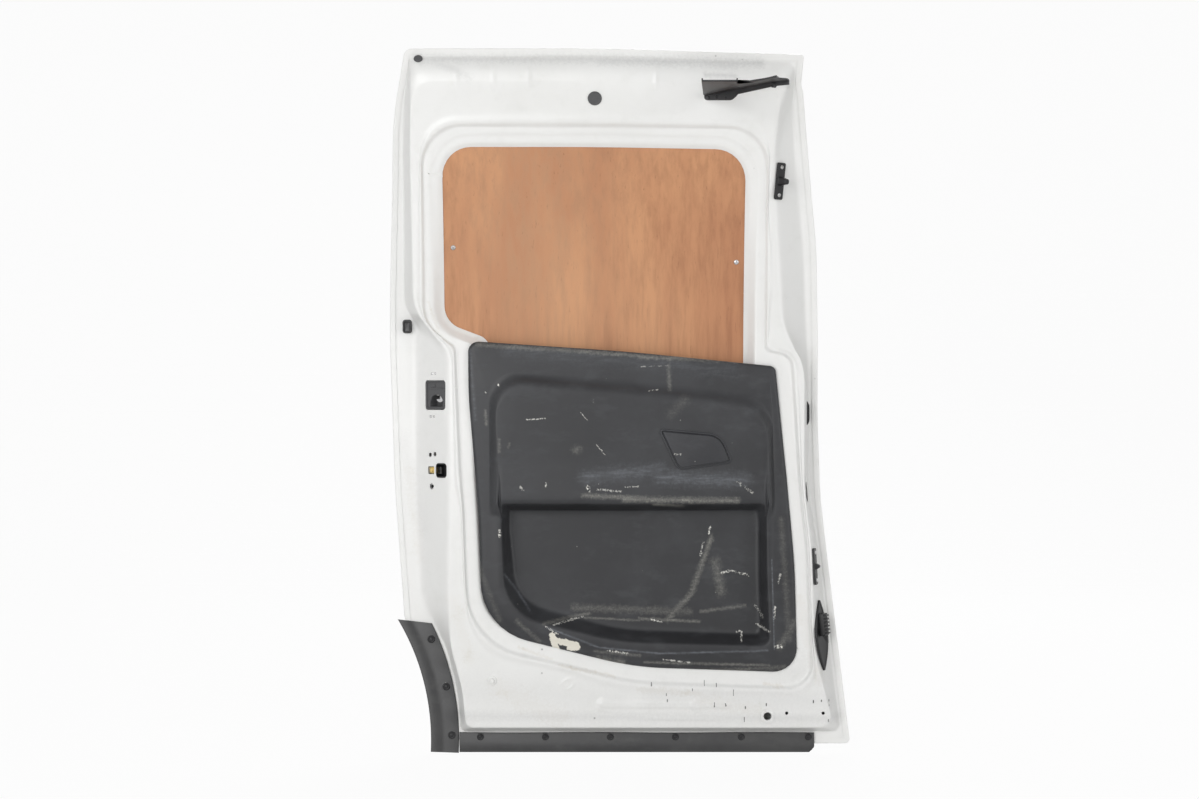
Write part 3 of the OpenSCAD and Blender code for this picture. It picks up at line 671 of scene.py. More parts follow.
# Dust on the dark moulding
TRIM_DUST = strokes(
    (162.5, 734.1, 310.5, 725.1, 7.2, 0.6), (310.5, 725.1, 454.9, 714.2, 6.3, 0.75),
    (454.9, 712.4, 646.3, 705.2, 7.2, 0.85), (507.8, 696, 509.6, 652.8, 6.3, 0.5),
    (176.9, 614.9, 178.7, 589.7, 4.7, 0.7), (354, 462.5, 472.5, 457.1, 7.2, 0.8),
    (427.6, 455.3, 630.4, 453.5, 9, 1), (481.5, 446.3, 533.5, 442.7, 5.4, 1),
    (341.3, 544.8, 343.1, 544.8, 12.6, 0.45), (202.8, 562.8, 202.8, 541.3, 4.3, 0.5),
    (219, 548.4, 220.8, 555.6, 3.6, 0.4), (537.4, 634.8, 512.3, 607.8, 14.4, 0.2),
    (337.1, 255.5, 546.9, 248.2, 10.8, 0.45), (355.4, 237.2, 455.7, 231.8, 3.6, 0.7),
    (455.7, 235.4, 565.1, 230, 4.5, 0.8), (587, 383.1, 568.7, 332.1, 8.1, 0.75),
    (568.7, 332.1, 550.5, 281, 9, 0.7), (550.5, 281, 506.7, 233.6, 9, 0.75),
    (594.3, 339.4, 605.2, 284.7, 14.4, 0.5), (568.7, 248.2, 647.2, 259.1, 5.4, 0.6),
    (379.1, 161.8, 422.4, 158.2, 14.4, 0.75), (464, 160, 689.6, 154.6, 4.3, 0.6),
    (545.2, 142, 716.7, 151, 7.2, 0.5), (707.7, 187.1, 736.6, 234, 10.8, 0.45),
    (375.5, 179.9, 454.9, 172.7, 5.4, 0.5), (234.7, 234, 274.4, 197.9, 7.2, 0.4),
    (158.9, 346, 202.2, 237.6, 9, 0.25), (711.3, 418.2, 725.7, 201.5, 9, 0.3),
    (282.4, 230, 364.5, 244.5, 5.4, 0.6))
# Painted highlights of the moulding: the sheen along the armrest ledge and the reflections along its rounded rims
TRIM_HIGHLIGHTS = strokes(
    (355.8, 494.8, 490.4, 509.2, 21.6, 0.5), (490.4, 494.8, 643, 491.2, 23.4, 0.55),
    (288.9, 223.2, 382.7, 187.1, 3.6, 0.8), (382.7, 187.1, 491, 176.3, 3.6, 0.8),
    (491, 176.3, 686, 181.7, 3.6, 0.7), (694.1, 346, 698.6, 183.5, 2.2, 0.8),
    (211.2, 318.9, 256.4, 252.1, 3.6, 0.7), (220.3, 725.1, 626.4, 689, 28.8, 0.22),
    (148, 725.1, 158.9, 598.7, 5.4, 0.35))
# Paint specks and scratches on the moulding
TRIM_WHITE = strokes(
    (200.4, 662.8, 200.4, 661, 1.8, 1), (176.6, 648.2, 176.9, 647.4, 1.6, 1),
    (251.4, 598.8, 285.6, 600.6, 1.6, 0.8), (349.4, 611.4, 361.1, 597, 1.1, 0.7),
    (371.9, 633, 373, 629.4, 2.5, 0.5), (377.3, 553.8, 392.6, 535.9, 1.4, 0.7),
    (361.2, 479.5, 364.8, 471.5, 3.2, 1), (379.1, 473.3, 422.2, 469.7, 2.2, 0.6),
    (240.9, 478.6, 246.3, 471.5, 2.2, 0.6), (286.5, 485.8, 286.9, 476.8, 1.4, 0.9),
    (519.1, 536.8, 528.1, 536.4, 2.2, 1), (472.7, 651, 488.9, 652.8, 1.6, 0.7),
    (630.4, 487.6, 657.4, 467.9, 2.9, 0.5), (203.1, 398.3, 202.2, 387.5, 2.5, 1),
    (585.1, 403.2, 582.4, 390.4, 2.5, 0.9), (572.4, 374, 566.9, 350.3, 2.3, 0.6),
    (605.2, 319.3, 625.3, 323, 2.5, 1), (625.3, 323, 654.4, 313.8, 2.5, 1),
    (632.6, 211.7, 641.7, 211.7, 2.3, 0.9), (641.7, 211.7, 639.9, 197.1, 2.3, 0.9),
    (702.3, 188.9, 711.3, 188.9, 4, 1), (700.4, 261.1, 698.6, 239.5, 2, 0.8),
    (667.2, 259.1, 680, 239.1, 2.9, 0.5), (669, 226.3, 689.1, 215.4, 2.9, 0.8),
    (477.6, 233.6, 495.8, 229, 2.5, 0.9), (300.7, 228.1, 355.4, 239.1, 2.2, 0.7),
    (286.1, 224.5, 309.8, 209.9, 2.2, 0.8), (399, 181.7, 433.3, 176.3, 2.3, 1),
    (498.3, 165.4, 545.2, 160, 1.8, 0.7), (458.3, 694.2, 505.1, 696, 1.3, 0.4),
    (429.4, 477.7, 454.5, 478.6, 1.8, 0.5), (705.9, 304.4, 709.5, 318.9, 2.5, 0.5))
# A patch of cream paint on the moulding's rim
TRIM_CREAM = strokes(
    (297.9, 208.8, 305.1, 183.5, 6.5, 1), (305.1, 199.7, 341.2, 190.7, 6.8, 1),
    (330.4, 187.1, 341.2, 187.1, 7.2, 1))
# Drips, and dark dots painted where small holes are, their darkness painted shade
PANEL_DRIPS_AND_HOLE_SHADE = strokes(
    (590.8, 86.6, 590.8, 79.3, 1.3, 0.9), (610.7, 84.8, 611.6, 81.1, 1.6, 0.9),
    (625.2, 110.1, 625.2, 99.2, 0.9, 0.8), (646.9, 79.3, 646.9, 75.7, 1.4, 0.9),
    (645.1, 59.4, 645.1, 52.2, 1.3, 0.9), (769.9, 90.2, 769.9, 86.6, 1.6, 1),
    (784.4, 91.1, 784.4, 88.4, 1.4, 1), (798.9, 91.1, 798.9, 88.4, 1.4, 1),
    (476.8, 122.8, 476.8, 117.3, 1.3, 0.8), (503.9, 102.9, 503.9, 99.2, 1.1, 0.8),
    (505.8, 92, 505.8, 88.4, 1.3, 0.8), (551, 111.9, 551, 108.3, 1.1, 0.8),
    (572.7, 126.4, 572.7, 117.3, 0.9, 0.8), (594.4, 121, 594.4, 115.5, 1.1, 0.8),
    (684.9, 84.8, 684.9, 81.1, 1.4, 0.9), (797.1, 55.8, 797.1, 52.2, 1.4, 0.8))
# Yellowish stains of the panel
PANEL_TAN = strokes(
    (681.3, 121, 712, 115.5, 5.4, 0.6), (238.1, 186.3, 295.9, 164.6, 4.3, 0.5),
    (310.4, 153.8, 409.8, 133.9, 4.7, 0.6), (73.5, 810.5, 91.8, 759.2, 4.5, 0.4),
    (158.5, 746.9, 183.8, 750.5, 4.3, 0.5), (455.1, 110.1, 563.7, 102.9, 9, 0.3),
    (563.7, 92, 672.2, 70.3, 18, 0.22), (201.8, 110.1, 310.4, 55.8, 28.8, 0.2),
    (120.4, 272.9, 147.5, 164.4, 18, 0.2), (744.6, 272.9, 780.8, 128.2, 16.2, 0.2),
    (31.4, 506.7, 53.4, 342, 14.4, 0.2), (329.7, 1264.4, 559.6, 1260.8, 5.4, 0.3))
# Painted shade of the panel: the roller arm's cast shadow above it and the darker band along the top; the broad grey
# strokes low on the face, the sill and the rear wall only darken it
PANEL_SHADE_AND_DARKENING = strokes(
    (568.3, 1228.7, 623.1, 1225.1, 16.2, 0.5), (570.1, 1207.5, 621.3, 1205.7, 9, 0.5),
    (382.7, 1234.3, 666.5, 1230, 17, 0.6), (60, 1236, 382.7, 1236, 15, 0.5), (81.2, 1237.8, 152.2, 1202.3, 14.4, 0.3),
    (633.7, 1179.2, 718.5, 1189.8, 7.2, 0.35), (114.2, 62, 818.2, 58, 20, 0.35), (480, 95, 800, 90, 50, 0.22),
    (150, 110, 420, 95, 55, 0.14), (700, 150, 800, 130, 60, 0.2), (20, 560, 60, 400, 30, 0.12))


def new_finish(name: str) -> tuple[Finish, Graph, bpy.types.Node, Socket]:
    """A node material: the material, its graph, its Principled shader and Object coordinates."""
    made = bpy.data.materials.new(name)
    made.use_nodes = True
    graph = Graph(made.node_tree)
    shader = made.node_tree.nodes["Principled BSDF"]
    where = graph.node("TexCoord", {}).outputs["Object"]
    return made, graph, shader, where


def bump(g: Graph, shader: bpy.types.Node, height: Socket, strength: float,
         distance: float) -> None:
    """Feeds a height to the shader's normal."""
    made = g.node("Bump", {"Height": height, "Strength": strength, "Distance": distance})
    g.feed(shader.inputs["Normal"], made.outputs[0])


@dataclass(frozen=True)
class Paint:
    """Gloss paint with faint soiling, flecks that show the primer and brushed marks: stains, drips, painted shade and
    dark dots painted as holes.
    """

    name: str = "white_paint"
    clean: tuple[float, float, float] = (0.82, 0.82, 0.805)
    soiled: tuple[float, float, float] = (0.60, 0.60, 0.56)
    tan: tuple[float, float, float] = (0.55, 0.47, 0.34)
    grey: tuple[float, float, float] = (0.36, 0.36, 0.36)
    dark: tuple[float, float, float] = (0.03, 0.03, 0.03)
    soil: float = 0.30
    roughness: float = 0.34

    def build(self, effects: Effects) -> Finish:
        """Makes the material."""
        made, g, shader, where = new_finish(self.name)
        patch = g.group(effects.cloud, {"Vector": where, "Scale": 3.2, "Low": 0.44, "High": 0.78})
        fine = g.group(effects.cloud, {"Vector": where, "Scale": 34.0, "Low": 0.5, "High": 0.8})
        both = g.math("ADD", g.math("MULTIPLY", patch, 0.8), g.math("MULTIPLY", fine, 0.5))
        grime = g.math("MULTIPLY", both, self.soil)
        colour = g.mix(grime, self.clean, self.soiled)
        # Painted shade: the arm's cast shadow and the darker top band, with grey darkening low on the face and the
        # sill
        shade_and_darkening = g.math("MULTIPLY", effects.brushed(g, where, PANEL_SHADE_AND_DARKENING, 0.8, -0.4), 0.7)
        colour = g.mix(shade_and_darkening, colour, self.grey)
        tan = g.math("MULTIPLY", effects.brushed(g, where, PANEL_TAN, 1.6, 0.0), g.math("ADD", fine, 0.3))
        colour = g.mix(tan, colour, self.tan)
        flecks = g.group(effects.fleck, {"Vector": where, "Scale": 42.0, "Size": 0.12, "Share": 0.03})
        # Drips, and dark dots painted in place of small holes, whose darkness is painted shade
        drips_and_hole_shade = effects.brushed(g, where, PANEL_DRIPS_AND_HOLE_SHADE, 0.7, 0.3)
        colour = g.mix(g.math("MAXIMUM", g.math("MULTIPLY", flecks, 0.7), drips_and_hole_shade), colour, self.dark)
        g.feed(shader.inputs["Base Color"], colour)
        rough = g.blend(g.math("ADD", grime, flecks), self.roughness, 0.7)
        g.feed(shader.inputs["Roughness"], rough)
        peel = g.node("TexNoise", {"Vector": where, "Scale": 420.0, "Detail": 2.0})
        bump(g, shader, g.math("SUBTRACT", peel.outputs[0], g.math("MULTIPLY", flecks, 0.5)), 0.08, 0.0004)
        return made


@dataclass(frozen=True)
class Plywood:
    """Varnished plywood: grain along the height, broad bands, a lighter middle and a few marks."""

    name: str = "plywood"
    red: tuple[float, float, float] = (0.45, 0.205, 0.105)
    tan: tuple[float, float, float] = (0.60, 0.305, 0.155)
    pale: tuple[float, float, float] = (0.68, 0.40, 0.23)
    pore: tuple[float, float, float] = (0.20, 0.085, 0.045)
    middle_x: float = 300.0
    middle_z: float = 900.0

    def build(self, effects: Effects) -> Finish:
        """Makes the material."""
        made, g, shader, where = new_finish(self.name)
        band = g.group(effects.cloud, {"Vector": where, "Stretch": (1.0, 1.0, 0.10), "Scale": 9.0,
                                       "Low": 0.3, "High": 0.72})
        streak = g.group(effects.cloud, {"Vector": where, "Stretch": (1.0, 1.0, 0.035), "Scale": 85.0,
                                         "Low": 0.36, "High": 0.74})
        middle = g.group(effects.spot, {"Vector": where, "Centre": spot_place(self.middle_x, self.middle_z),
                                        "Size": (0.24, 9.0, 0.42), "Rag": 3.0, "Inner": 0.1})
        colour = g.mix(g.math("MULTIPLY", band, 0.95), self.red, self.tan)
        colour = g.mix(g.math("MULTIPLY", middle, g.math("ADD", g.math("MULTIPLY", streak, 0.5), 0.2)),
                       colour, self.pale)
        pores = g.group(effects.cloud, {"Vector": where, "Stretch": (1.0, 1.0, 0.03), "Scale": 260.0,
                                        "Low": 0.60, "High": 0.78})
        colour = g.mix(g.math("MULTIPLY", pores, 0.5), colour, self.pore)
        colour = g.mix(g.math("MULTIPLY", streak, 0.30), colour, self.pore)
        g.feed(shader.inputs["Base Color"], colour)
        g.feed(shader.inputs["Roughness"], g.blend(streak, 0.45, 0.62))
        g.feed(shader.inputs["Specular IOR Level"], 0.3)
        bump(g, shader, g.math("SUBTRACT", streak, pores), 0.25, 0.0004)
        return made


@dataclass(frozen=True)
class Moulded:
    """Dark moulded plastic: grain, scuffs, dust, painted highlight bands and paint marks."""

    name: str = "trim_plastic"
    clean: tuple[float, float, float] = (0.030, 0.031, 0.034)
    scuffed: tuple[float, float, float] = (0.055, 0.057, 0.061)
    dust: tuple[float, float, float] = (0.27, 0.265, 0.24)
    # Pale bluish colour of the painted highlights
    highlight_tint: tuple[float, float, float] = (0.22, 0.235, 0.26)
    white: tuple[float, float, float] = (0.74, 0.73, 0.68)
    cream: tuple[float, float, float] = (0.76, 0.73, 0.64)
    roughness: float = 0.42
    gloss: float = 0.35
    scuff: float = 0.8
    flecks: float = 0.05
    dusty: tuple[Stroke, ...] = ()
    # Strokes of the painted highlights along the ledge and the rims
    paler_marks: tuple[Stroke, ...] = ()
    painted: tuple[Stroke, ...] = ()
    patched: tuple[Stroke, ...] = ()

    def marks(self, effects: Effects, g: Graph, where: Socket,
              colour: Socket) -> Socket:
        """The colour with the painted highlight bands, the dust, the specks and the painted patch laid over it."""
        grit = g.group(effects.cloud, {"Vector": where, "Scale": 330.0, "Low": 0.36, "High": 0.66})
        drawn = g.group(effects.cloud, {"Vector": where, "Scale": 90.0, "Stretch": (0.35, 1.0, 2.2),
                                        "Low": 0.40, "High": 0.64})
        # Painted highlights: pale bluish bands where the ledge and the rims catch the light
        if self.paler_marks:
            band = effects.brushed(g, where, self.paler_marks, 0.7, -0.6)
            colour = g.mix(g.math("MULTIPLY", band, g.blend(drawn, 0.45, 1.0)), colour, self.highlight_tint)
        if self.dusty:
            veil = effects.brushed(g, where, self.dusty, 0.9, -0.1)
            veil = g.math("MULTIPLY", veil, g.blend(drawn, 0.6, 1.0))
            colour = g.mix(g.math("MULTIPLY", veil, g.blend(grit, 0.45, 1.0)), colour, self.dust)
        if self.painted:
            specks = g.math("MULTIPLY", effects.brushed(g, where, self.painted, 2.2, 0.2),
                            g.ramp(grit, 0.25, 0.6))
            colour = g.mix(specks, colour, self.white)
        if self.patched:
            colour = g.mix(effects.brushed(g, where, self.patched, 0.7, 0.8), colour, self.cream)
        return colour

    def build(self, effects: Effects) -> Finish:
        """Makes the material."""
        made, g, shader, where = new_finish(self.name)
        haze = g.group(effects.cloud, {"Vector": where, "Scale": 6.0, "Low": 0.38, "High": 0.74})
        wiped = g.group(effects.cloud, {"Vector": where, "Scale": 16.0, "Stretch": (1.0, 1.0, 2.2),
                                        "Low": 0.5, "High": 0.72})
        both = g.math("ADD", g.math("MULTIPLY", haze, 0.55), g.math("MULTIPLY", wiped, 0.5))
        paler_marks = g.math("MULTIPLY", both, self.scuff)
        colour = g.mix(paler_marks, self.clean, self.scuffed)
        flecks = g.group(effects.fleck, {"Vector": where, "Scale": 75.0, "Size": 0.10, "Share": self.flecks})
        colour = g.mix(g.math("MULTIPLY", flecks, 0.6 * self.scuff), colour, self.white)
        g.feed(shader.inputs["Base Color"], self.marks(effects, g, where, colour))
        g.feed(shader.inputs["Roughness"], g.blend(g.math("ADD", paler_marks, flecks), self.roughness, 0.66))
        g.feed(shader.inputs["Specular IOR Level"], self.gloss)
        grain = g.node("TexVoronoi", {"Vector": where, "Scale": 900.0})
        bump(g, shader, g.math("MULTIPLY", grain.outputs["Distance"], 0.5), 0.15, 0.0004)
        return made


def moulding_finish(name: str, level: float, above: bool) -> Moulded:
    """The moulding's plastic with the marks that reach above, or below, a level."""
    def reached(marks: tuple[Stroke, ...]) -> tuple[Stroke, ...]:
        """The strokes that touch this side of the level."""
        if above:
            return tuple(m for m in marks if max(m.az, m.bz) + m.half > level)
        return tuple(m for m in marks if min(m.az, m.bz) - m.half < level)
    # The sheen strokes passed here are painted highlights.
    return Moulded(name, (0.026, 0.0265, 0.029), (0.060, 0.062, 0.067), dusty=reached(TRIM_DUST),
                   paler_marks=reached(TRIM_HIGHLIGHTS), painted=reached(TRIM_WHITE), patched=reached(TRIM_CREAM))


@dataclass(frozen=True)
class Metal:
    """Turned or plated steel with fine brush lines, stains and a dull film."""

    name: str
    bright: tuple[float, float, float]
    dull: tuple[float, float, float]
    roughness: float = 0.34

    def build(self, effects: Effects) -> Finish:
        """Makes the material."""
        made, g, shader, where = new_finish(self.name)
        film = g.group(effects.cloud, {"Vector": where, "Scale": 130.0, "Low": 0.42, "High": 0.7})
        brush = g.group(effects.cloud, {"Vector": where, "Stretch": (0.1, 1.0, 1.0), "Scale": 900.0,
                                        "Low": 0.35, "High": 0.7})
        g.feed(shader.inputs["Base Color"], g.mix(film, self.bright, self.dull))
        g.feed(shader.inputs["Metallic"], g.blend(film, 1.0, 0.6))
        g.feed(shader.inputs["Roughness"], g.blend(film, self.roughness, 0.6))
        bump(g, shader, brush, 0.12, 0.0002)
        return made


# Pressed shell

def arch_point(z: float, grow: float, rounding: float) -> tuple[float, float, float]:
    """A corner on the wheel arch's circle, grown by some millimetres, at height z."""
    x = ARCH_CENTRE[0] + math.sqrt((ARCH_RADIUS + grow) ** 2 - (z - ARCH_CENTRE[1]) ** 2)
    return (x, z, rounding)


def door_rows() -> np.ndarray:
    """Corners (21, 5, 3) of the outline, wall foot, wall head, step line and lip, clockwise."""
    return np.array([
        [[39, 1255, 12], [48, 1242, 9], [50, 1192, 40], [65, 1122, 73], [83, 1104, 70]],
        [[383, 1255.5, 60], [383, 1243, 60], [383, 1193, 60], [373, 1122, 60], [373, 1104, 60]],
        [[745, 1245, 6], [729, 1232, 12], [704, 1184, 38], [684, 1117, 70], [663, 1099, 72]],
        [[742, 1195, 4], [728, 1166, 8], [695, 1090, 16], [684, 1010, 16], [663, 1000, 16]],
        [[746, 1183, 4], [732, 1146, 8], [693, 1050, 10], [684, 975, 10], [663, 965, 10]],
        [[779, 909, 40], [761, 900, 40], [702, 890, 40], [684, 870, 40], [663, 850, 40]],
        [[784, 740, 30], [767, 745, 30], [712, 765, 36], [684, 724, 9], [663, 692, 7]],
        [[784, 600, 30], [768, 610, 30], [754, 700, 24], [731, 715, 20], [689, 676, 9]],
        [[789, 455, 30], [766, 470, 30], [753, 475, 30], [746, 480, 30], [708, 470, 30]],
        [[799, 370, 30], [784, 370, 30], [766, 370, 30], [758, 370, 30], [716, 370, 30]],
        [[822, 170, 30], [808, 170, 30], [771, 175, 30], [765, 205, 30], [722, 220, 30]],
        [[840, 8, 9], [824, 29, 12], [807, 42, 30], [771, 112, 50], [728, 156, 45]],
        [[443, 5, 60], [443, 29, 60], [443, 42, 60], [443, 123, 50], [443, 166, 50]],
        [arch_point(4, 0, 5), arch_point(29, 48, 10), arch_point(42, 62, 14), [330, 152, 20], [330, 194, 20]],
        [arch_point(90, 1, 24), arch_point(100, 49, 24), arch_point(110, 63, 24),
         [147, 195, 92], [175, 225, 60]],
        [arch_point(168, 1, 24), arch_point(180, 49, 22), arch_point(190, 63, 20),
         [139, 340, 30], [166, 330, 22]],
        [arch_point(232, 0, 12), [56, 262, 30], [110, 290, 30], [137, 420, 30], [161, 420, 30]],
        [[7, 470, 60], [43, 470, 60], [115, 480, 60], [131, 500, 30], [156, 510, 30]],
        [[-2, 740, 40], [43, 772, 10], [112, 716, 24], [120, 731, 8], [165, 732, 6]],
        [[0, 850, 60], [24, 812, 14], [47, 798, 30], [65, 763, 42], [83, 763, 42]],
        [[13, 1140, 50], [29, 1140, 50], [45, 1060, 60], [65, 1000, 40], [83, 1000, 40]]], float)


def slab(front: np.ndarray, back: np.ndarray) -> Solid:
    """A plate between two open grids (k, m, 3), closed along its four sides."""
    k, m = front.shape[:2]
    index = np.arange(k * m).reshape(k, m)

    def squares(grid: np.ndarray) -> np.ndarray:
        """Quads of a grid of point numbers."""
        return np.stack([grid[:-1, :-1], grid[1:, :-1], grid[1:, 1:], grid[:-1, 1:]], -1).reshape(-1, 4)

    rim = np.concatenate([index[0, :-1], index[:-1, -1], index[-1, :0:-1], index[:0:-1, 0]])
    nxt = np.roll(rim, -1)
    sides = np.stack([rim, nxt, nxt + k * m, rim + k * m], 1)
    quads = np.concatenate([squares(index), squares(index)[:, ::-1] + k * m, sides])
    points = np.concatenate([front.reshape(-1, 3), back.reshape(-1, 3)])
    return Solid(points, quads, np.zeros((0, 3), int)).outward()


def discs(loop: np.ndarray, centre: tuple[float, float], steps: int) -> list[np.ndarray]:
    """The loop scaled towards a centre in equal steps, without the centre itself."""
    shares = 1.0 - np.arange(1, steps) / steps
    return [np.array(centre) + (loop - np.array(centre)) * s for s in shares]


@dataclass
class Press:
    """One round-ended ridge or dimple pressed into the face."""

    start: tuple[float, float]
    end: tuple[float, float]
    radius: float
    edge: float
    height: float


def presses() -> list[Press]:
    """Ribs of the top band, dimples and the long stiffening rib above the sill."""
    made = [Press((x, 1189), (x, 1236), 6, 5.5, 1.5) for x in (131, 196, 258, 334, 407, 483, 694)]
    made += [Press((x, 1182), (x, 1182), 3.5, 3, 0.8) for x in (131, 196, 258, 334, 483)]
    made += [Press((326.6, 121), (326.6, 121), 13, 5, 1.2), Press((326.6, 121), (326.6, 121), 9, 4, -1.0)]
    made += [Press((390, 83), (612, 82), 9, 6, 1.6), Press((390, 83), (390, 83), 15, 6, 1.5),
             Press((560, 82), (560, 82), 15, 6, 1.5), Press((470, 58), (600, 57), 5, 4, 0.8)]
    made += [Press(DRAIN, DRAIN, 17, 3, 0.6), Press(STUD, STUD, 12.5, 3, 0.6)]
    return made


@dataclass
class InnerPanel:
    """The pressed inner panel: hem flange, side walls, face, land round the opening and return."""

    paint: Finish
    arc: int = 8
    band: float = 6.5
    reach: tuple[float, ...] = (0, 3, 9, 5, 14, 8, 10, 6, 4, 3, 3, 4, 4, 4, 0)

    def edges(self) -> np.ndarray:
        """Points on each straight, closer along the top and bottom, where the ribs are."""
        xy = door_rows()[:, 0, :2]
        length = np.linalg.norm(np.roll(xy, -1, 0) - xy, axis=1)
        flat = (xy[:, 1] > 1200) | (xy[:, 1] < 40)
        return np.ceil(length / np.where(flat, 5.0, 9.0)).astype(int)

    def rings(self) -> np.ndarray:
        """The control rings from the hemmed flange to the window's return, as in the CAD part."""
        rows, edges = door_rows(), self.edges()

        def loop(column: int, inset: float = 0.0) -> np.ndarray:
            """One outline of the rows, moved inwards."""
            return rounded(shrink(rows[:, column], inset) if inset else rows[:, column], self.arc, edges)

        foot, head, step, lip = (loop(c) for c in (1, 2, 3, 4))

        def at(outline: np.ndarray, mix: float, height: float = 0.0) -> np.ndarray:
            """An outline at a share of the way from the flange's depth to the face's."""
            z = outline[:, 1]
            return lift(outline, flange_depth(z) * (1 - mix) + panel_depth(z) * mix + height)

        def wall(share: float, mix: float, crowned: float) -> np.ndarray:
            """A line on the side wall, which bulges along the top: fully above z 1190, not below z 1130."""
            line = foot + (head - foot) * share
            crown = np.clip((line[:, 1] - 1130.0) / 60.0, 0.0, 1.0)
            return at(line, mix + (crowned - mix) * crown)

        def back(outline: np.ndarray, height: float) -> np.ndarray:
            """An outline at the return flange's depth."""
            return lift(outline, return_depth(outline[:, 1]) + height)

        return np.array([
            at(loop(0, 2.6), 0), at(loop(0, HEM_WIDTH + 1), 0), at(foot, 0, 0.6),
            wall(0.12, 0.07, 0.22), wall(0.5, 0.52, 0.74), wall(0.88, 0.94, 0.975), at(head, 1),
            at(toward(step, head, 19, 0.62), 1), at(toward(step, head, 9, 0.36), 1, 3.4),
            at(toward(step, head, 3, 0.14), 1, 2.6), at(toward(step, lip, 3, 0.2), 1, -3.6),
            at(toward(lip, step, 5, 0.3), 1, -4), at(lip, 1, -6),
            back(loop(4, 11), 5), back(loop(4, 18), 0)])

    def front(self, control: np.ndarray) -> np.ndarray:
        """The rings with rounded folds, fine bands, ribs and dimples."""
        grid = refine(fillet(control, self.reach), self.band)
        x, depth, z = grid[..., 0], -grid[..., 1], grid[..., 2]
        raised = smooth((depth - flange_depth(z) - 3.0) / 5.0)
        height = sum(p.height * ridge(x, z, p.start, p.end, p.radius, p.edge) for p in presses())
        grid[..., 1] -= height * raised
        return grid

    def back(self, control: np.ndarray) -> np.ndarray:
        """The control rings moved along their normals by the sheet's thickness."""
        around = np.roll(control, -1, 1) - np.roll(control, 1, 1)
        over = np.concatenate([control[1:2] - control[:1], control[2:] - control[:-2],
                               control[-1:] - control[-2:-1]])
        return control + SHEET * unit(np.cross(around, over))

    def cutters(self) -> list[Solid]:
        """Everything that is cut through the sheet."""
        latch = moulding(LATCH_PLACE, oblong(52, 54, 6), [(0, -13), (0, 13)])
        slot = moulding(rear_wall(76, 506), oblong(17, 14, 2.5), [(0, -13), (0, 13)])
        wide = moulding(rear_wall(96.5, 506), oblong(28, 27, 7), [(0, -13.1), (0, 13.1)])
        holes = [(rear_wall(74, 534), 4.0), (rear_wall(84, 535.5), 4.0), (rear_wall(77, 476.5), 5.5),
                 (rear_wall(119.6, 656.5), 1.6),
                 (Place(SEAT_X - 33, FACE_DEPTH, SEAT_Z), 2.9), (Place(SEAT_X + 33, FACE_DEPTH, SEAT_Z), 2.9),
                 (Place(DRAIN[0], FACE_DEPTH, DRAIN[1]), 8.5), (CUP_PLACE, 19.0)]
        holes += [(plug.place, plug.neck) for plug in PLUGS]
        return [latch, slot, wide] + [turned(place, [(r, -9), (r, 9)]) for place, r in holes]

    def build(self) -> None:
        """Makes the panel in place of its CAD node."""
        control = self.rings()
        piece = make("inner_panel_pressing", [sheet(self.front(control), self.back(control))], self.paint)
        for tool in self.cutters():
            cut(piece, [tool])
        crease_edges(piece, 60.0)
        settle(piece, "white_paint", "inner_panel")


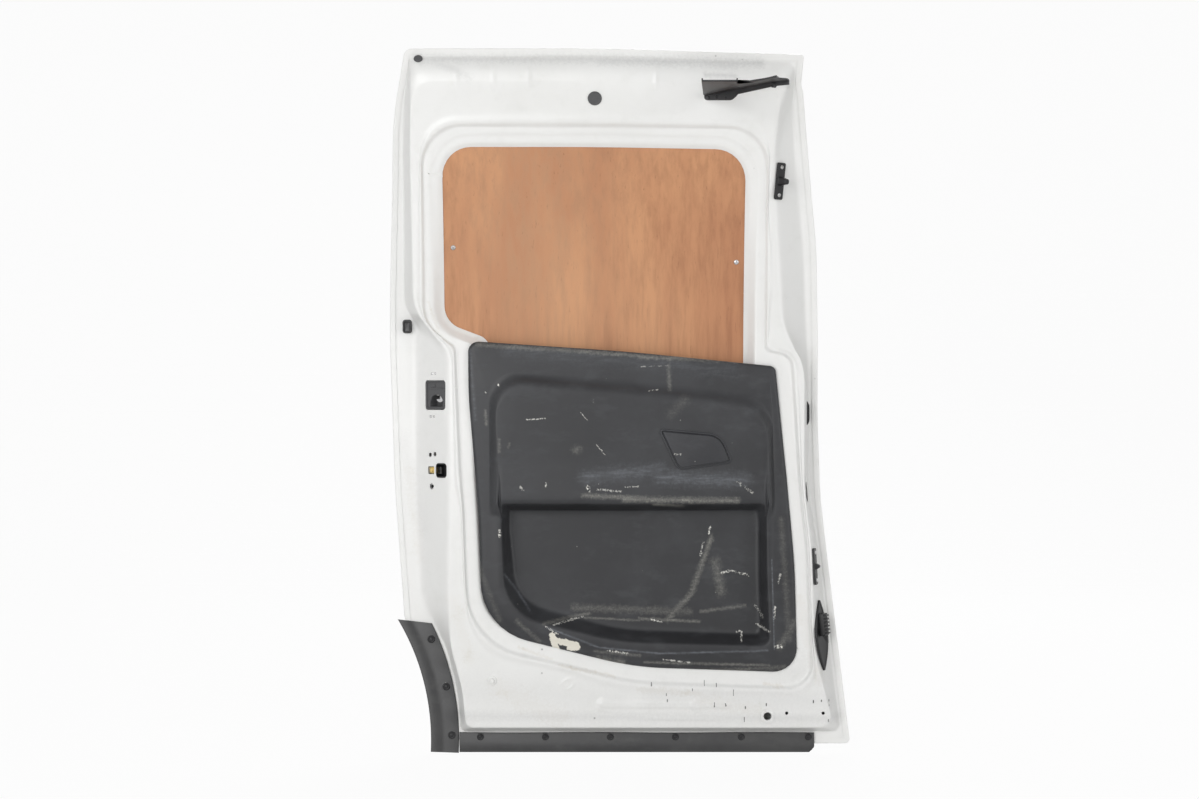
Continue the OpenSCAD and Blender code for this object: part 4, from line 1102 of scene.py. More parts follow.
@dataclass
class OuterSkin:
    """The curved outer skin with its hem, blanked window, swage line and handle recess."""

    paint: Finish

    def lines(self, spans: list[tuple[float, float, float]]) -> np.ndarray:
        """Grid lines over spans given as start, end and spacing."""
        parts = [np.arange(a, b, s) for a, b, s in spans]
        return np.concatenate(parts + [[spans[-1][1]]])

    def relief(self, x: np.ndarray, z: np.ndarray) -> np.ndarray:
        """How far the skin is pressed in: the blank window by 5 and the swage line by 1.6."""
        def inside(x0: float, x1: float, z0: float, z1: float, r: float, ramp: float) -> np.ndarray:
            """1 inside a rounded rectangle, 0 outside, over a ramp."""
            dx = np.abs(x - (x0 + x1) / 2) - (x1 - x0) / 2 + r
            dz = np.abs(z - (z0 + z1) / 2) - (z1 - z0) / 2 + r
            gap = np.hypot(np.maximum(dx, 0), np.maximum(dz, 0)) + np.minimum(np.maximum(dx, dz), 0) - r
            return smooth(0.5 - gap / ramp)
        return 5.0 * inside(65, 684, 740, 1116, 55, 9) + 1.6 * inside(74, 767, 300, 345, 20, 9)

    def sheet(self) -> Solid:
        """A grid over the whole door, denser where the relief is, cut to the outline later."""
        x = self.lines([(-30, 55, 12), (55, 130, 4), (130, 615, 13), (615, 790, 4), (790, 870, 10)])
        z = self.lines([(-20, 290, 14), (290, 355, 4), (355, 570, 14), (570, 650, 4), (650, 725, 12),
                        (725, 805, 4), (805, 1050, 13), (1050, 1130, 4), (1130, 1275, 8)])
        gx, gz = np.meshgrid(x, z, indexing="ij")
        depth = skin_depth(gz) + self.relief(gx, gz)
        return slab(np.stack([gx, -depth, gz], -1), np.stack([gx, -depth - SHEET, gz], -1))

    def hem(self) -> Solid:
        """The rolled edge: a closed profile (inset, height above the skin) carried round the outline."""
        edge = door_rows()[:, 0]
        profile = [(4, -0.02), (1.4, 0.1), (0.4, 0.8), (0.0, 2.1), (0.4, 3.4), (1.4, 4.1), (4, 4.2),
                   (10.4, 4.2), (HEM_WIDTH, 3.9), (HEM_WIDTH, 3.3), (4, 3.3), (2.4, 2.9), (1.8, 2.1),
                   (2.4, 1.3), (4, 1.19)]
        rings = []
        for inset, height in profile:
            loop = rounded(shrink(edge, inset) if inset else edge, 8, 14)
            wave = 0.6 * np.sin(loop[:, 0] * 0.31 + loop[:, 1] * 0.37) * smooth((inset - 8.0) / 3.0)
            middle = np.array([400.0, 600.0])
            loop = loop + unit(middle - loop) * np.array([wave, wave]).T
            rings.append(lift(loop, skin_depth(loop[:, 1]) + height))
        return loft(np.array(rings), torus=True)

    def build(self) -> None:
        """Makes the skin in place of its CAD node."""
        outline = rounded(shrink(door_rows()[:, 0], 2.6), 10, 4)
        blade = loft(np.array([lift(outline, -40.0), lift(outline, 260.0)]))
        piece = make("outer_skin_sheet", [self.sheet()], self.paint)
        cut(piece, [blade], Keep.INSIDE)
        handle = moulding(Place(705, 0, 610), oblong(124, 54, 16), [(0, -9), (0, 12)])
        cut(piece, [handle])
        settle(piece, "white_paint", "outer_skin")
        settle(make("outer_skin_hem", [self.hem()], self.paint), "white_paint")


@dataclass
class Lining:
    """The plywood lining and its two screws."""

    wood: Finish
    steel: Finish
    keys: np.ndarray = field(default_factory=lambda: np.array(
        [[90, 1097, 44], [656, 1092, 46], [656, 698, 8], [172, 698, 30], [90, 757, 36]], float))
    centre: tuple[float, float] = (373.0, 890.0)

    def face(self, depth: float, edge: float) -> np.ndarray:
        """One face of the board: its softened edge and rings towards the centre."""
        loops = [rounded(shrink(self.keys, inset), 6, 8) for inset in (0.0, edge, edge + 0.6)]
        rings = [lift(loops[0], layer_depth(loops[0][:, 1], depth) + (1 if depth < 26 else -1) * 0.7)]
        rings += [lift(loop, layer_depth(loop[:, 1], depth)) for loop in loops[1:]]
        rings += [lift(d, layer_depth(d[:, 1], depth)) for d in discs(loops[2], self.centre, 22)]
        return np.array(rings)

    def build(self) -> None:
        """Makes the board and the screws."""
        middle = np.array([[self.centre[0], -layer_depth(self.centre[1], d), self.centre[1]]
                           for d in (28.0, 24.0)])
        board = sheet(self.face(28.0, 0.6), self.face(24.0, 0.6), middle)
        settle(make("plywood_lining", [board], self.wood), "plywood", "plywood_panel")
        screws = []
        for x, z in ((118.0, 910.0), (631.0, 884.0)):
            lean = math.degrees(math.asin((z - 620.0) / 1500.0))
            place = Place(x, float(layer_depth(z, 28.0)), z, ((lean, 0, 0),))
            screws.append(turned(place, [(4.4, 0.0), (4.6, 0.4), (4.2, 1.2), (3.2, 1.8), (1.9, 2.0),
                                         (1.3, 1.2), (0.5, 0.5)]))
        settle(make("lining_screws", screws, self.steel), "bare_steel", "plywood_screws")


TRIM_ROWS = np.array([
    [[145, 741, 20], [185, 682, 60], [196, 668, 56], [201, 522, 12], [206, 448, 6], [218, 434, 5]],
    [[430, 722, 60], [430, 664, 60], [430, 648, 60], [440, 522, 60], [440, 447, 60], [440, 433, 60]],
    [[701, 695, 10], [694, 636, 60], [684, 622, 56], [684, 520, 12], [681, 448, 8], [671, 434, 8]],
    [[721, 500, 24], [699, 462, 14], [693, 457, 14], [688, 452, 12], [684, 426, 8], [674, 414, 8]],
    [[736, 335, 40], [699, 320, 30], [693, 320, 30], [689, 320, 30], [685, 320, 30], [674, 320, 30]],
    [[741, 141, 45], [705, 171, 26], [700, 177, 24], [695, 184, 20], [690, 190, 16], [677, 206, 12]],
    [[443, 151, 60], [428, 175, 50], [426, 183, 50], [423, 190, 50], [420, 197, 50], [418, 214, 50]],
    [[170, 219, 84], [191, 228, 70], [198, 234, 68], [205, 240, 66], [212, 247, 64], [232, 266, 54]],
    [[165, 420, 40], [186, 424, 8], [194, 424, 8], [200, 422, 8], [206, 408, 8], [218, 396, 6]],
    [[146, 640, 30], [185, 470, 12], [195, 466, 12], [200, 462, 12], [206, 430, 5], [218, 418, 5]]], float)


@dataclass
class Trim:
    """The dark moulding on the land: pad, armrest ledge, pocket and the blank cover."""

    plastic: Finish
    lower: Finish
    covering: Finish
    wall: float = 3.0
    ledge_z: float = 446.0
    fade: float = 20.0
    floor: float = 30.0
    middle: tuple[float, float] = (450.0, 320.0)
    reach: tuple[float, ...] = (0, 1.5, 4, 9, 8, 6, 9, 8, 0)

    def steps(self) -> list[tuple[int, float, float, float, float]]:
        """Each ring's column, its depth beside the pocket and on the pad, its inset and its back's outset."""
        seat, t, face = FACE_DEPTH - 3.4, self.wall, FACE_DEPTH
        return [(0, seat + t, seat + t, 0, 0), (0, seat + t + 3, seat + t + 3, 4, 0),
                (0, seat + t + 4.4, seat + t + 4.4, 12, 0), (1, face + 6.4, face + 6.4, 0, 0),
                (2, face + 8, face + 20, 0, 0), (3, face + 8.5, face + 22.5, 0, 0),
                (4, face + 8, face + 28, 0, 1.5), (5, self.floor + 1, self.floor + 1, 0, 3),
                (5, self.floor, self.floor, 8, 3)]

    def rings(self, back: bool) -> np.ndarray:
        """The rings of the front or of the back, which lies one wall deeper."""
        out = []
        for column, low, high, inset, outset in self.steps():
            loop = rounded(shrink(TRIM_ROWS[:, column], inset - outset * back), 8, 10)
            share = np.clip((loop[:, 1] - self.ledge_z + self.fade) / self.fade, 0.0, 1.0)
            drop = (self.wall + (4.0 if column == 4 else 0.0)) * back
            out.append(lift(loop, low + (high - low) * share - drop))
        return np.array(out)

    def surface(self, back: bool) -> np.ndarray:
        """The rings with rounded folds, closed in towards the middle of the pocket's floor."""
        rings = self.rings(back)
        grid = refine(fillet(rings, self.reach), 9.0) if not back else rings
        last = grid[-1][:, [0, 2]]
        floor = self.floor - self.wall * back
        inner = [lift(d, floor) for d in discs(last, self.middle, 14 if not back else 3)]
        return np.concatenate([grid, np.array(inner)])

    def cover(self) -> list[Solid]:
        """The blank cover over the handle's place: a raised frame round a sunken plate."""
        keys = np.array([[488, 583, 10], [602, 573, 22], [623, 521, 9], [524, 506, 12]], float)
        seat = Place(0, FACE_DEPTH + 22.4, 0)
        levels = [(0, -2), (0, 0.5), (0.5, 1.5), (1.3, 1.9), (2.6, 1.9), (3.3, 1.2), (3.7, -0.8),
                  (4.6, -1.0), (5.0, 0.9), (5.7, 1.6), (6.8, 1.8)]
        return [moulding(seat, keys, levels)]

    def build(self) -> None:
        """Makes the moulding and its cover."""
        depths = (self.floor, self.floor - self.wall)
        middle = np.array([[self.middle[0], -d, self.middle[1]] for d in depths])
        body = sheet(self.surface(False), self.surface(True), middle)
        piece = make("trim_moulding", [body], self.plastic, 50.0)
        piece.data.materials.append(self.lower)
        centres = np.zeros(len(piece.data.polygons) * 3, np.float32)
        piece.data.polygons.foreach_get("center", centres)
        below = centres[2::3] < (self.ledge_z - SEAT_Z) * 0.001
        piece.data.polygons.foreach_set("material_index", below.astype(np.int32))
        settle(piece, "trim_plastic", "trim_panel")
        settle(make("handle_cover", self.cover(), self.covering), "trim_plastic", "trim_blank")


@dataclass
class Seals:
    """The rubber flaps along the wheel arch and the sill, with their clips."""

    rubber: Finish
    plastic: Finish
    lean: float = -5.6
    start: float = 2.3

    def arch_place(self) -> Place:
        """The plane of the wide flange beside the arch, with its origin in the arch's middle."""
        return Place(ARCH_CENTRE[0], 30.6, 10.0, ((self.lean, 0, 0),))

    def arch(self) -> Solid:
        """The arch flap: a profile (radius, height) turned about the arch, cut level at its top."""
        r = ARCH_RADIUS
        face = np.array([(r - 5, 4), (r - 3.6, 5.4), (r + 1, 5.5), (r + HEM_WIDTH, 4.6),
                         (r + HEM_WIDTH + 3, 3.6), (r + 18, 2.7), (r + 22, 3.0), (r + 36, 3.1),
                         (r + 42, 2.9), (r + 45.2, 2.6), (r + 46, 1.9)], float)
        rear = np.array([(r - 4, 3.2), (r - 2.4, 2.2), (r + 1, 2.2), (r + HEM_WIDTH, 2.2),
                         (r + HEM_WIDTH + 3, 0.3), (r + 18, 0.3), (r + 22, 0.3), (r + 36, 0.3), (r + 42, 0.4),
                         (r + 45.4, 1.0), (r + 46, 1.2)], float)

        def grid(line: np.ndarray) -> np.ndarray:
            """One side of the flap; the top cut runs where v = 225.5 - 0.117 (u - 340)."""
            end = np.full(len(line), 0.5)
            for _ in range(12):
                end = np.arcsin((225.5 - 0.117 * (line[:, 0] * np.cos(end) - 340.0)) / line[:, 0])
            start = -math.radians(self.start)
            angle = start + np.linspace(0.0, 1.0, 49)[:, None] * (end[None, :] - start)
            wave = 0.35 * np.sin(angle * 61.0) * smooth((line[:, 0] - r - 20.0) / 20.0)
            across, up = line[:, 0] * np.cos(angle), line[:, 0] * np.sin(angle)
            return self.arch_place().put(across, line[:, 1] + wave, up)
        return slab(grid(face), grid(rear))

    def sill(self) -> Solid:
        """The sill flap: a stepped profile drawn along the bottom edge, a little wavy along its top."""
        face = np.array([(32.6, 28.0), (33.6, 27.2), (34.6, 22), (36.0, 15), (36.9, 10), (37.4, 4),
                         (37.2, -2), (36.8, -6.6), (36.2, -7.2)], float)
        rear = np.array([(30.0, 28.0), (29.8, 27.0), (30.3, 22), (31.0, 17.4), (33.5, 16), (34.3, 1),
                         (34.5, -3), (34.7, -6.6), (35.2, -7.2)], float)

        def grid(line: np.ndarray) -> np.ndarray:
            """One side of the flap from x 128 to 774, rounded off at its front end."""
            x = np.linspace(128.0, 774.0, 131)[:, None] + 0.0 * line[None, :, 0]
            x = x - 9.0 * smooth((x - 740.0) / 34.0) * smooth((2.0 - line[None, :, 1]) / 9.0)
            wave = 0.5 * np.sin(x * 0.021) * smooth((line[:, 1] - 18.0) / 10.0)
            return np.stack([x, -line[None, :, 0] - 0.0 * x, line[None, :, 1] + wave], -1)
        return slab(grid(face), grid(rear))

    def clip(self, place: Place, r: float = 7.0) -> Solid:
        """A push clip: a dished head with a raised button."""
        return turned(place, [(r, -1.0), (r, 0.8), (r - 0.6, 1.5), (r - 1.4, 1.7), (r - 2.4, 1.2),
                              (r - 3.2, 1.1), (r - 3.5, 2.0), (r - 4.0, 2.3), (1.0, 2.4)])

    def build(self) -> None:
        """Makes both flaps and their clips."""
        settle(make("arch_flap", [self.arch()], self.rubber), "seal_rubber", "arch_seal")
        settle(make("sill_flap", [self.sill()], self.rubber), "seal_rubber", "sill_seal")
        place, r = self.arch_place(), ARCH_RADIUS + 33.0
        clips = [self.clip(place.at(r * math.cos(math.radians(a)), 3.0, r * math.sin(math.radians(a))))
                 for a in (1.6, 12.5, 23.7)]
        settle(make("arch_flap_clips", clips, self.plastic), "black_plastic", "arch_seal_clips")
        clips = [self.clip(Place(x, 35.2, 20.5, ((0, 0, 0),)), 6.4)
                 for x in (166.0, 284.4, 402.8, 521.2, 641.4, 763.4)]
        settle(make("sill_flap_clips", clips, self.plastic), "black_plastic", "sill_seal_clips")


# Fittings

def ring_piece(place: Place, profile: list[tuple[float, float]], count: int = 48) -> Solid:
    """A turned ring: a closed profile (radius, height) spun round the place's out axis."""
    angle = np.linspace(0.0, 2 * math.pi, count, endpoint=False)[::-1]
    rings = [place.put(r * np.cos(angle), h, r * np.sin(angle)) for r, h in profile]
    return loft(np.array(rings), torus=True)


def screw(place: Place, r: float) -> Solid:
    """A pan-head screw: a domed head with a round recess."""
    return turned(place, [(r, -1.5), (r, 0.5), (0.94 * r, 1.0), (0.75 * r, 1.5), (0.5 * r, 1.7),
                          (0.42 * r, 1.5), (0.34 * r, 0.7), (0.1 * r, 0.5)], 24)


@dataclass
class Wedge:
    """A striker wedge: a plate with softened edges, a tapered peg and two screws."""

    name: str
    place: Place
    reach: float
    root: float
    tip: float
    thick: float = 3.0

    def build(self, plastic: Finish, steel: Finish) -> None:
        """Makes the wedge and its screws in place of their CAD nodes."""
        t = self.thick
        levels = [(0, 0), (0, t - 0.7), (0.2, t - 0.25), (0.8, t), (3, t)]
        plate = moulding(self.place, oblong(20, 66, 3.4), levels)
        rings = []
        for share in (0.0, 0.06, 0.3, 0.6, 0.88, 0.97, 1.0):
            shut = 0.0 if share < 0.9 else (0.8 if share < 1.0 else 2.0)
            w = 14.0 - 4.0 * share - shut
            h = self.root + (self.tip - self.root) * share - min(shut, self.tip * 0.4)
            flare = 1.6 if share == 0.0 else 0.0
            loop = rounded(oblong(w + flare, h + flare, min(w, h) * 0.3), 4, 1)
            rings.append(self.place.put(loop[:, 0], t - 0.4 + share * (self.reach + 0.4), loop[:, 1]))
        settle(make(self.name + "_body", [plate, loft(np.array(rings))], plastic), "black_plastic", self.name)
        screws = [screw(self.place.at(0, t, s * 25.0), 3.5) for s in (-1, 1)]
        settle(make(self.name + "_pan_screws", screws, steel), "bare_steel", self.name + "_screws")


@dataclass
class Carrier:
    """The leaf-shaped contact carrier with its toothed block."""

    plastic: Finish
    place: Place = front_wall(785.5, 206, 42, 58.3, -5.6)
    keys: tuple = ((2, 67, 5), (26, 22, 38), (22, -30, 30), (-3, -66, 5), (-26, -22, 38),
                   (-23, 28, 30))
    teeth: int = 6
    pitch: float = 6.4

    def build(self) -> None:
        """Makes the carrier and the block in place of their CAD nodes."""
        levels = [(0, 0), (0, 2.6), (0.4, 3.5), (1.4, 4.0), (4, 4.0), (5, 3.2), (7, 3.1)]
        leaf = moulding(self.place, np.array(self.keys, float), levels, 8)
        settle(make("contact_leaf", [leaf], self.plastic), "black_plastic", "contact_carrier")
        foot = self.place.at(0, 2.8, 20)
        solids = [moulding(foot, oblong(18, 40, 2), [(0, 0), (0, 9.0), (0.3, 9.7), (1.0, 10.0), (2, 10.0)])]
        for i in range(self.teeth):
            tooth = foot.at(0, 9.0, (i - (self.teeth - 1) / 2) * self.pitch)
            solids.append(moulding(tooth, oblong(14, 3.0, 0.8),
                                   [(0, 0), (0.1, 3.6), (0.4, 4.5), (0.9, 4.9)], 3))
        settle(make("contact_teeth", solids, self.plastic), "black_plastic", "contact_block")


@dataclass
class Latch:
    """The rear latch in the slanted wall: housing with an arched mouth, tab and screws."""

    plastic: Finish
    steel: Finish
    place: Place = LATCH_PLACE

    def build(self) -> None:
        """Makes the housing, with its mouth cut out, and the screws."""
        levels = [(0, -23), (0, -2.4), (0.3, -1.6), (1.0, -1.2), (2.4, -1.2), (3.2, -1.8), (3.6, -3.4),
                  (6, -3.6)]
        piece = make("latch_case", [moulding(self.place, oblong(50.8, 52.8, 6), levels)], self.plastic)
        mouth = np.array([[-16, 1, 15], [15, 1, 15], [15, -21, 2], [-16, -21, 2]], float)
        levels = [(1.5, -21.0), (0.4, -6.0), (0, -4.2), (-0.8, -3.0), (-0.8, 4)]
        cut(piece, [moulding(self.place, mouth, levels)])
        floor = -3.4
        rib = moulding(self.place.at(0, floor, 12.5), oblong(30, 3, 1.2),
                       [(0, -0.6), (0.1, 0.7), (0.6, 1.1)], 3)
        knob = moulding(self.place.at(-7, floor, 17.5), oblong(9, 5, 1.6),
                        [(0, -0.6), (0.1, 0.8), (0.7, 1.3)], 3)
        settle(piece, "black_plastic", "latch_housing")
        settle(make("latch_case_ribs", [rib, knob], self.plastic), "black_plastic")
        spots = ((-8, 39), (0.5, 39.5), (-2.5, -39), (-11, -39))
        screws = [screw(self.place.at(u, -0.2, v), 2.7) for u, v in spots]
        settle(make("latch_pan_screws", screws, self.steel), "bare_steel", "latch_screws")


@dataclass
class HingeLock:
    """The lock of the hinge arm behind the stepped opening: its lever; the housing stays the CAD node."""

    zinc: Finish

    def build(self) -> None:
        """Makes the lever as a folded tab with a slot."""
        place = rear_wall(75.5, 506)
        solids = [moulding(place, oblong(13, 12.4, 2),
                           [(0, -12), (0, -4.4), (0.3, -3.4), (1.2, -3.0), (2.4, -3.0)]),
                  moulding(place.at(-1, -3.4, 0), oblong(6, 8, 1.6),
                           [(0, -0.5), (0.2, 1.6), (0.8, 2.2), (2, 2.2)])]
        settle(make("lock_lever", solids, self.zinc), "yellow_zinc", "hinge_lock_lever")


@dataclass
class Buffer:
    """The rubber buffer on the rear edge: a soft block with a sunken middle on a thin foot."""

    rubber: Finish

    def build(self) -> None:
        """Makes the buffer in place of its CAD node."""
        depth = float(flange_depth(np.float64(769.0))) + 0.6
        place = Place(30.5, depth, 769, ((5, 0, 0),))
        levels = [(0, 0), (0, 2.4), (0.4, 2.9), (1.2, 3.1), (1.5, 3.8), (1.7, 13.4), (2.1, 14.5), (2.9, 15.0),
                  (3.6, 14.8), (4.1, 14.0), (4.4, 12.0), (5.2, 11.8)]
        settle(make("buffer_block", [moulding(place, oblong(17, 25, 5), levels)], self.rubber),
               "seal_rubber", "rear_buffer")


@dataclass
class Arm:
    """The upper roller arm: a level web with a hanging lip along its far edge and a foot on the panel."""

    dark: Finish
    steel: Finish
    z: float = 1171.0
    turn: float = -53.4
    root: tuple[float, float] = (567.5, 146.0)
    web: tuple = ((567.5, -146, 2), (679, -291, 6), (703, -306, 3), (698, -318, 5), (685, -324, 2),
                  (677, -349, 3), (661, -322, 10), (617, -276, 3), (616, -301, 2), (555, -301, 2))
    lip: tuple = ((0, 1.2, 0.6), (183, 1.2, 0.6), (183, -6.5, 1), (89, -8.3, 2), (86, -11, 2), (73, -16.6, 5),
                  (6, -8.4, 3), (0, -5, 2))

    def strip(self, line: np.ndarray, thick: float) -> np.ndarray:
        """Corners of a thin strip beside an open line (n, 2) of the plan, clockwise."""
        along = unit(np.gradient(line, axis=0))
        side = line + thick * np.column_stack([along[:, 1], -along[:, 0]])
        keys = np.concatenate([line, side[::-1]])
        return np.column_stack([keys, np.full(len(keys), thick * 0.3)])

    def build(self) -> None:
        """Makes the arm and its bolts in place of their CAD nodes."""
        flat = Place(0, 0, self.z, ((-90, 0, 0),))
        edge = [(0.8, 0), (0.2, 0.25), (0, 0.8), (0, 2.4), (0.3, 3.0), (1.0, 3.2)]
        solids = [moulding(flat, np.array(self.web, float), edge)]
        lip = Place(*self.root, self.z, ((0, 0, self.turn),))
        solids.append(moulding(lip, np.array(self.lip, float),
                               [(0.5, -2.6), (0, -2.1), (0, -0.5), (0.5, 0), (1.2, 0)]))
        tip = np.array([[678, -290], [703, -306]], float)
        solids.append(moulding(flat, self.strip(tip, 2.4), [(0.4, -6.2), (0, -5.8), (0, 1.2)], 3))
        left = np.array([[555, -300], [566, -150]], float)
        right = np.array([[617.5, -277], [616.5, -300]], float)
        for line in (left, right):
            solids.append(moulding(flat, self.strip(line, 2.4),
                                   [(0, 1.0), (0, 5.6), (0.4, 6.2), (0.8, 6.4)], 3))
        pin = Place(677, 292, self.z - 4.5, ((0, 0, self.turn),))
        solids.append(turned(pin, [(4.4, -4), (4.4, 2.2), (3.8, 3.0), (2.4, 3.2), (2.0, 2.2),
                                   (0.3, 2.0)], 24))
        settle(make("roller_arm", solids, self.dark), "dark_paint", "upper_arm")
        near, depth = self.root
        heads = [turned(Place(x, depth + (x - near) * 1.3 - 0.6, self.z - h, ((0, 0, self.turn),)),
                        [(3.6, -2), (3.6, 1.6), (3.2, 2.2), (1.6, 2.5), (0.3, 2.5)], 6)
                 for x, h in ((575, 5.5), (588, 6.5), (603, 11.5))]
        settle(make("arm_bolt_heads", heads, self.steel), "dark_paint", "upper_arm_bolts")


@dataclass
class Sundries:
    """Plugs, the cup, the drain collar and the painted stud."""

    paint: Finish
    plastic: Finish

    def build(self) -> None:
        """Makes them in place of their CAD nodes."""
        heads = []
        for plug in PLUGS:
            h, n = plug.head, plug.neck - 0.2
            heads.append(turned(plug.place, [(n, -5), (n, 0.6), (h - 0.3, 0.7), (h, 1.2), (h - 0.4, 2.1),
                                             (h - 1.6, 2.8), (h - 2.8, 2.6), (h - 3.6, 2.0), (0.4, 1.9)]))
        settle(make("plug_heads", heads, self.plastic), "black_plastic", "top_plugs")
        cup = turned(CUP_PLACE, [(0.5, -8.0), (16.0, -8.0), (17.6, -7.2), (18.6, -5.4), (18.9, -1.6),
                                 (21.5, -1.6), (21.5, -9.4), (0.5, -9.4)], 48)
        settle(make("cup_dish", [cup], self.paint), "white_paint", "front_cup")
        collar = ring_piece(Place(DRAIN[0], FACE_DEPTH + 0.6, DRAIN[1]),
                            [(6.8, -5), (8.2, -5), (8.3, 0.0), (12.8, 0.0), (13.0, 0.8), (12.6, 1.7),
                             (11.6, 2.1), (8.6, 2.1), (7.6, 1.7), (7.0, 0.6)])
        settle(make("drain_ring", [collar], self.paint), "white_paint", "drain_collar")
        stud = turned(Place(STUD[0], FACE_DEPTH + 0.6, STUD[1]),
                      [(8.5, 0), (8.5, 1.2), (8.0, 1.9), (7.0, 2.1), (4.6, 2.2), (4.1, 2.8), (4.0, 5.8),
                       (3.6, 6.5), (2.6, 6.8), (0.4, 6.9)])
        settle(make("stud_head", [stud], self.paint), "white_paint", "painted_stud")


# Studio

@dataclass
class Studio:
    """White room, soft lamps and the camera of the photograph."""

    eye: tuple[float, float, float] = (-0.3716, -3.54, 0.5675)
    lens: float = 58.75
    floor_z: float = -0.0765

    def camera(self) -> None:
        """A level camera that looks along +Y, square to the door."""
        data = bpy.data.cameras.new("camera")
        data.lens, data.sensor_width = self.lens, 36.0
        made = bpy.data.objects.new("camera", data)
        made.location = self.eye
        made.rotation_euler = (math.pi / 2, 0.0, 0.0)
        bpy.context.scene.collection.objects.link(made)
        bpy.context.scene.camera = made

    def white(self, name: str, tint: tuple[float, float, float]) -> Finish:
        """A pale cloth that the camera and reflections see as white, with the door's soft shadow on it."""
        made, g, shader, where = new_finish(name)
        cloth = g.node("TexNoise", {"Vector": where, "Scale": 260.0, "Detail": 3.0})
        weave = g.math("MULTIPLY", cloth.outputs[0], 0.04)
        g.feed(shader.inputs["Base Color"], g.mix(weave, tint, (0.7, 0.7, 0.7)))
        g.feed(shader.inputs["Roughness"], 0.9)
        path = g.node("LightPath", {})
        seen = g.math("ADD", path.outputs["Is Camera Ray"], path.outputs["Is Glossy Ray"])
        glow = g.node("Emission", {"Color": (1.0, 1.0, 1.0, 1.0), "Strength": 1.0})
        share = g.math("MULTIPLY", seen, 0.94)
        blend = g.node("MixShader", {0: share, 1: shader.outputs[0], 2: glow.outputs[0]})
        g.feed(made.node_tree.nodes["Material Output"].inputs["Surface"], blend.outputs[0])
        return made

    def room(self) -> None:
        """A floor with a wall curved up behind it, as one sheet."""
        turn = np.linspace(0.0, math.pi / 2, 13)
        y = np.concatenate([[-9.0, 0.0, 2.0], 3.0 + np.sin(turn) * 1.2])
        z = np.concatenate([[0.0, 0.0, 0.0], 1.2 - np.cos(turn) * 1.2])
        y, z = np.append(y, 4.2), np.append(z, 7.0) + self.floor_z
        x = np.array([-9.0, 9.0])
        points = np.array([[xx, yy, zz] for xx in x for yy, zz in zip(y, z)])
        count = len(y)
        faces = [(i, i + count, i + count + 1, i + 1) for i in range(count - 1)]
        mesh = bpy.data.meshes.new("backdrop")
        mesh.from_pydata(points.tolist(), [], faces)
        mesh.materials.append(self.white("backdrop_cloth", (0.9, 0.9, 0.9)))
        made = bpy.data.objects.new("backdrop", mesh)
        bpy.context.scene.collection.objects.link(made)

    def lamp(self, name: str, where: tuple, aim: tuple, size: tuple[float, float], power: float) -> None:
        """One large rectangular lamp aimed at a point."""
        data = bpy.data.lights.new(name, "AREA")
        data.shape = "RECTANGLE"
        data.size, data.size_y = size
        data.energy = power
        made = bpy.data.objects.new(name, data)
        made.location = where
        made.rotation_euler = (Vector(aim) - Vector(where)).to_track_quat("-Z", "Y").to_euler()
        bpy.context.scene.collection.objects.link(made)

    def build(self) -> None:
        """Sets up the world, the lamps, the room and the camera."""
        scene = bpy.context.scene
        scene.view_settings.view_transform = "Standard"
        world = bpy.data.worlds.new("studio")
        scene.world = world
        world.use_nodes = True
        g = Graph(world.node_tree)
        path = g.node("LightPath", {})
        seen = g.math("ADD", path.outputs["Is Camera Ray"], path.outputs["Is Glossy Ray"])
        shader = world.node_tree.nodes["Background"]
        g.feed(shader.inputs["Color"], (1.0, 1.0, 1.0, 1.0))
        g.feed(shader.inputs["Strength"], g.blend(seen, 0.31, 1.0))
        aim = (-0.37, 0.0, 0.6)
        self.lamp("key", (-2.0, -3.7, 1.2), aim, (2.4, 2.2), 84.0)
        self.lamp("fill", (2.6, -2.6, 1.0), aim, (2.0, 2.0), 32.0)
        self.lamp("rear", (0.6, 3.0, 2.6), aim, (2.4, 1.6), 55.0)
        self.room()
        self.camera()


def dress(finishes: dict[str, Finish], nodes: dict[str, str]) -> None:
    """Gives the CAD nodes that stay their finishes.

    Args:
        finishes: Materials by finish name.
        nodes: The finish name of each node.
    """
    for name, finish in nodes.items():
        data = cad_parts[name].data
        data.materials.clear()
        data.materials.append(finishes[finish])
        log.info("%s: %s", name, finish)


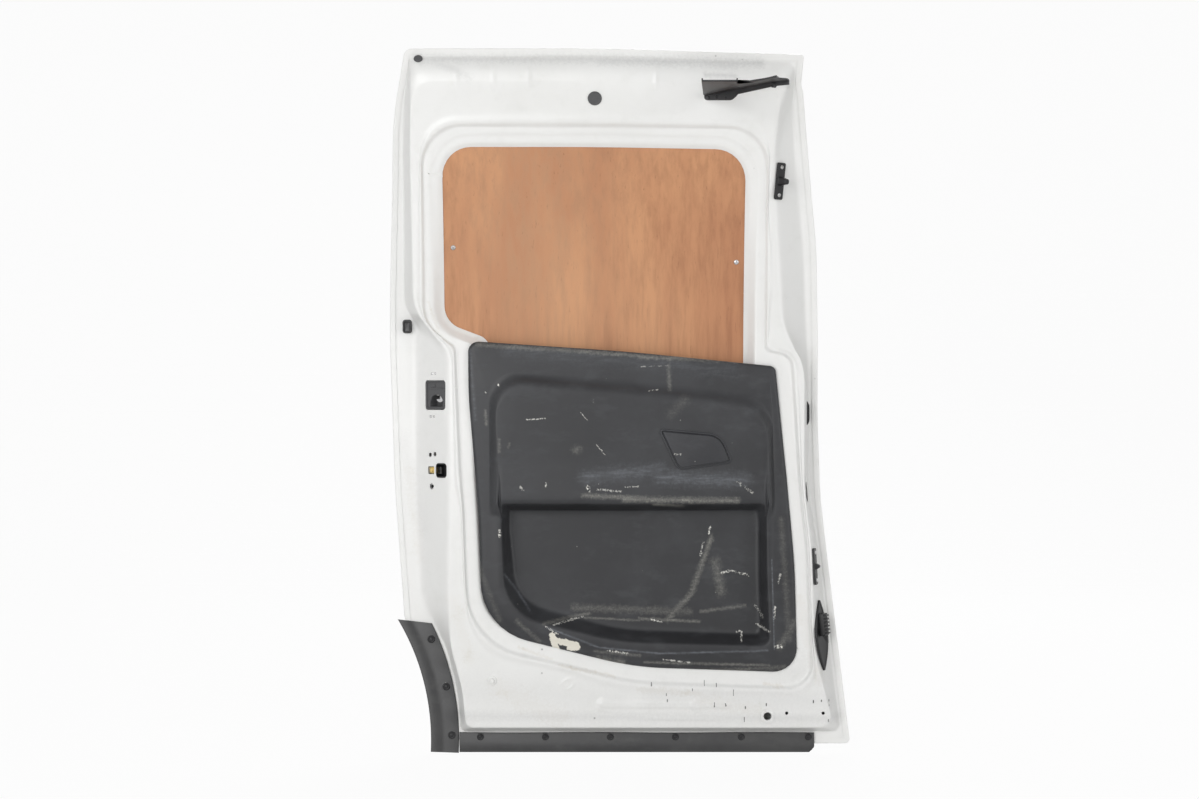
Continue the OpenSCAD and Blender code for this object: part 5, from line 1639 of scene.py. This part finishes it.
def main() -> None:
    """Builds the door piece by piece."""
    effects = Effects()
    finishes = {
        "paint": Paint().build(effects),
        "wood": Plywood().build(effects),
        "pad": moulding_finish("trim_plastic", 446.0, True).build(effects),
        "pocket": moulding_finish("trim_plastic_low", 446.0, False).build(effects),
        "cover": Moulded("cover_plastic", (0.028, 0.0285, 0.032), (0.06, 0.062, 0.068),
                         painted=TRIM_WHITE[9:12]).build(effects),
        "rubber": Moulded("seal_rubber", (0.010, 0.010, 0.011), (0.05, 0.05, 0.049), roughness=0.36,
                          gloss=0.6, flecks=0.03).build(effects),
        "plastic": Moulded("black_plastic", (0.008, 0.008, 0.009), (0.03, 0.03, 0.032),
                           scuff=0.4).build(effects),
        "grey": Moulded("grey_plastic", (0.075, 0.075, 0.078), (0.15, 0.15, 0.15),
                        scuff=0.4).build(effects),
        "dark": Moulded("dark_paint", (0.030, 0.030, 0.032), (0.07, 0.07, 0.072),
                        scuff=0.4).build(effects),
        "steel": Metal("bare_steel", (0.55, 0.55, 0.56), (0.30, 0.29, 0.27)).build(effects),
        "zinc": Metal("yellow_zinc", (0.66, 0.50, 0.20), (0.36, 0.30, 0.16)).build(effects)}
    InnerPanel(finishes["paint"]).build()
    OuterSkin(finishes["paint"]).build()
    Lining(finishes["wood"], finishes["steel"]).build()
    Trim(finishes["pad"], finishes["pocket"], finishes["cover"]).build()
    Seals(finishes["rubber"], finishes["plastic"]).build()
    for wedge in (Wedge("upper_wedge", front_wall(705, 1026, 96, 41, 8), 17, 16, 9),
                  Wedge("lower_wedge", front_wall(773, 332, 49, 71.5, -3.6), 7, 13, 4)):
        wedge.build(finishes["plastic"], finishes["steel"])
    Carrier(finishes["plastic"]).build()
    Latch(finishes["grey"], finishes["steel"]).build()
    HingeLock(finishes["zinc"]).build()
    Buffer(finishes["rubber"]).build()
    Arm(finishes["dark"], finishes["dark"]).build()
    Sundries(finishes["paint"], finishes["grey"]).build()
    dress(finishes, {
        "belt_rail": "paint", "latch_claw": "steel",
        "hinge_plate": "steel", "hinge_lock_housing": "plastic",
        "lower_arm_nut_plate": "steel", "outer_handle_cup": "plastic", "outer_handle": "plastic"})
    Studio().build()


if __name__ == "__main__":
    main()
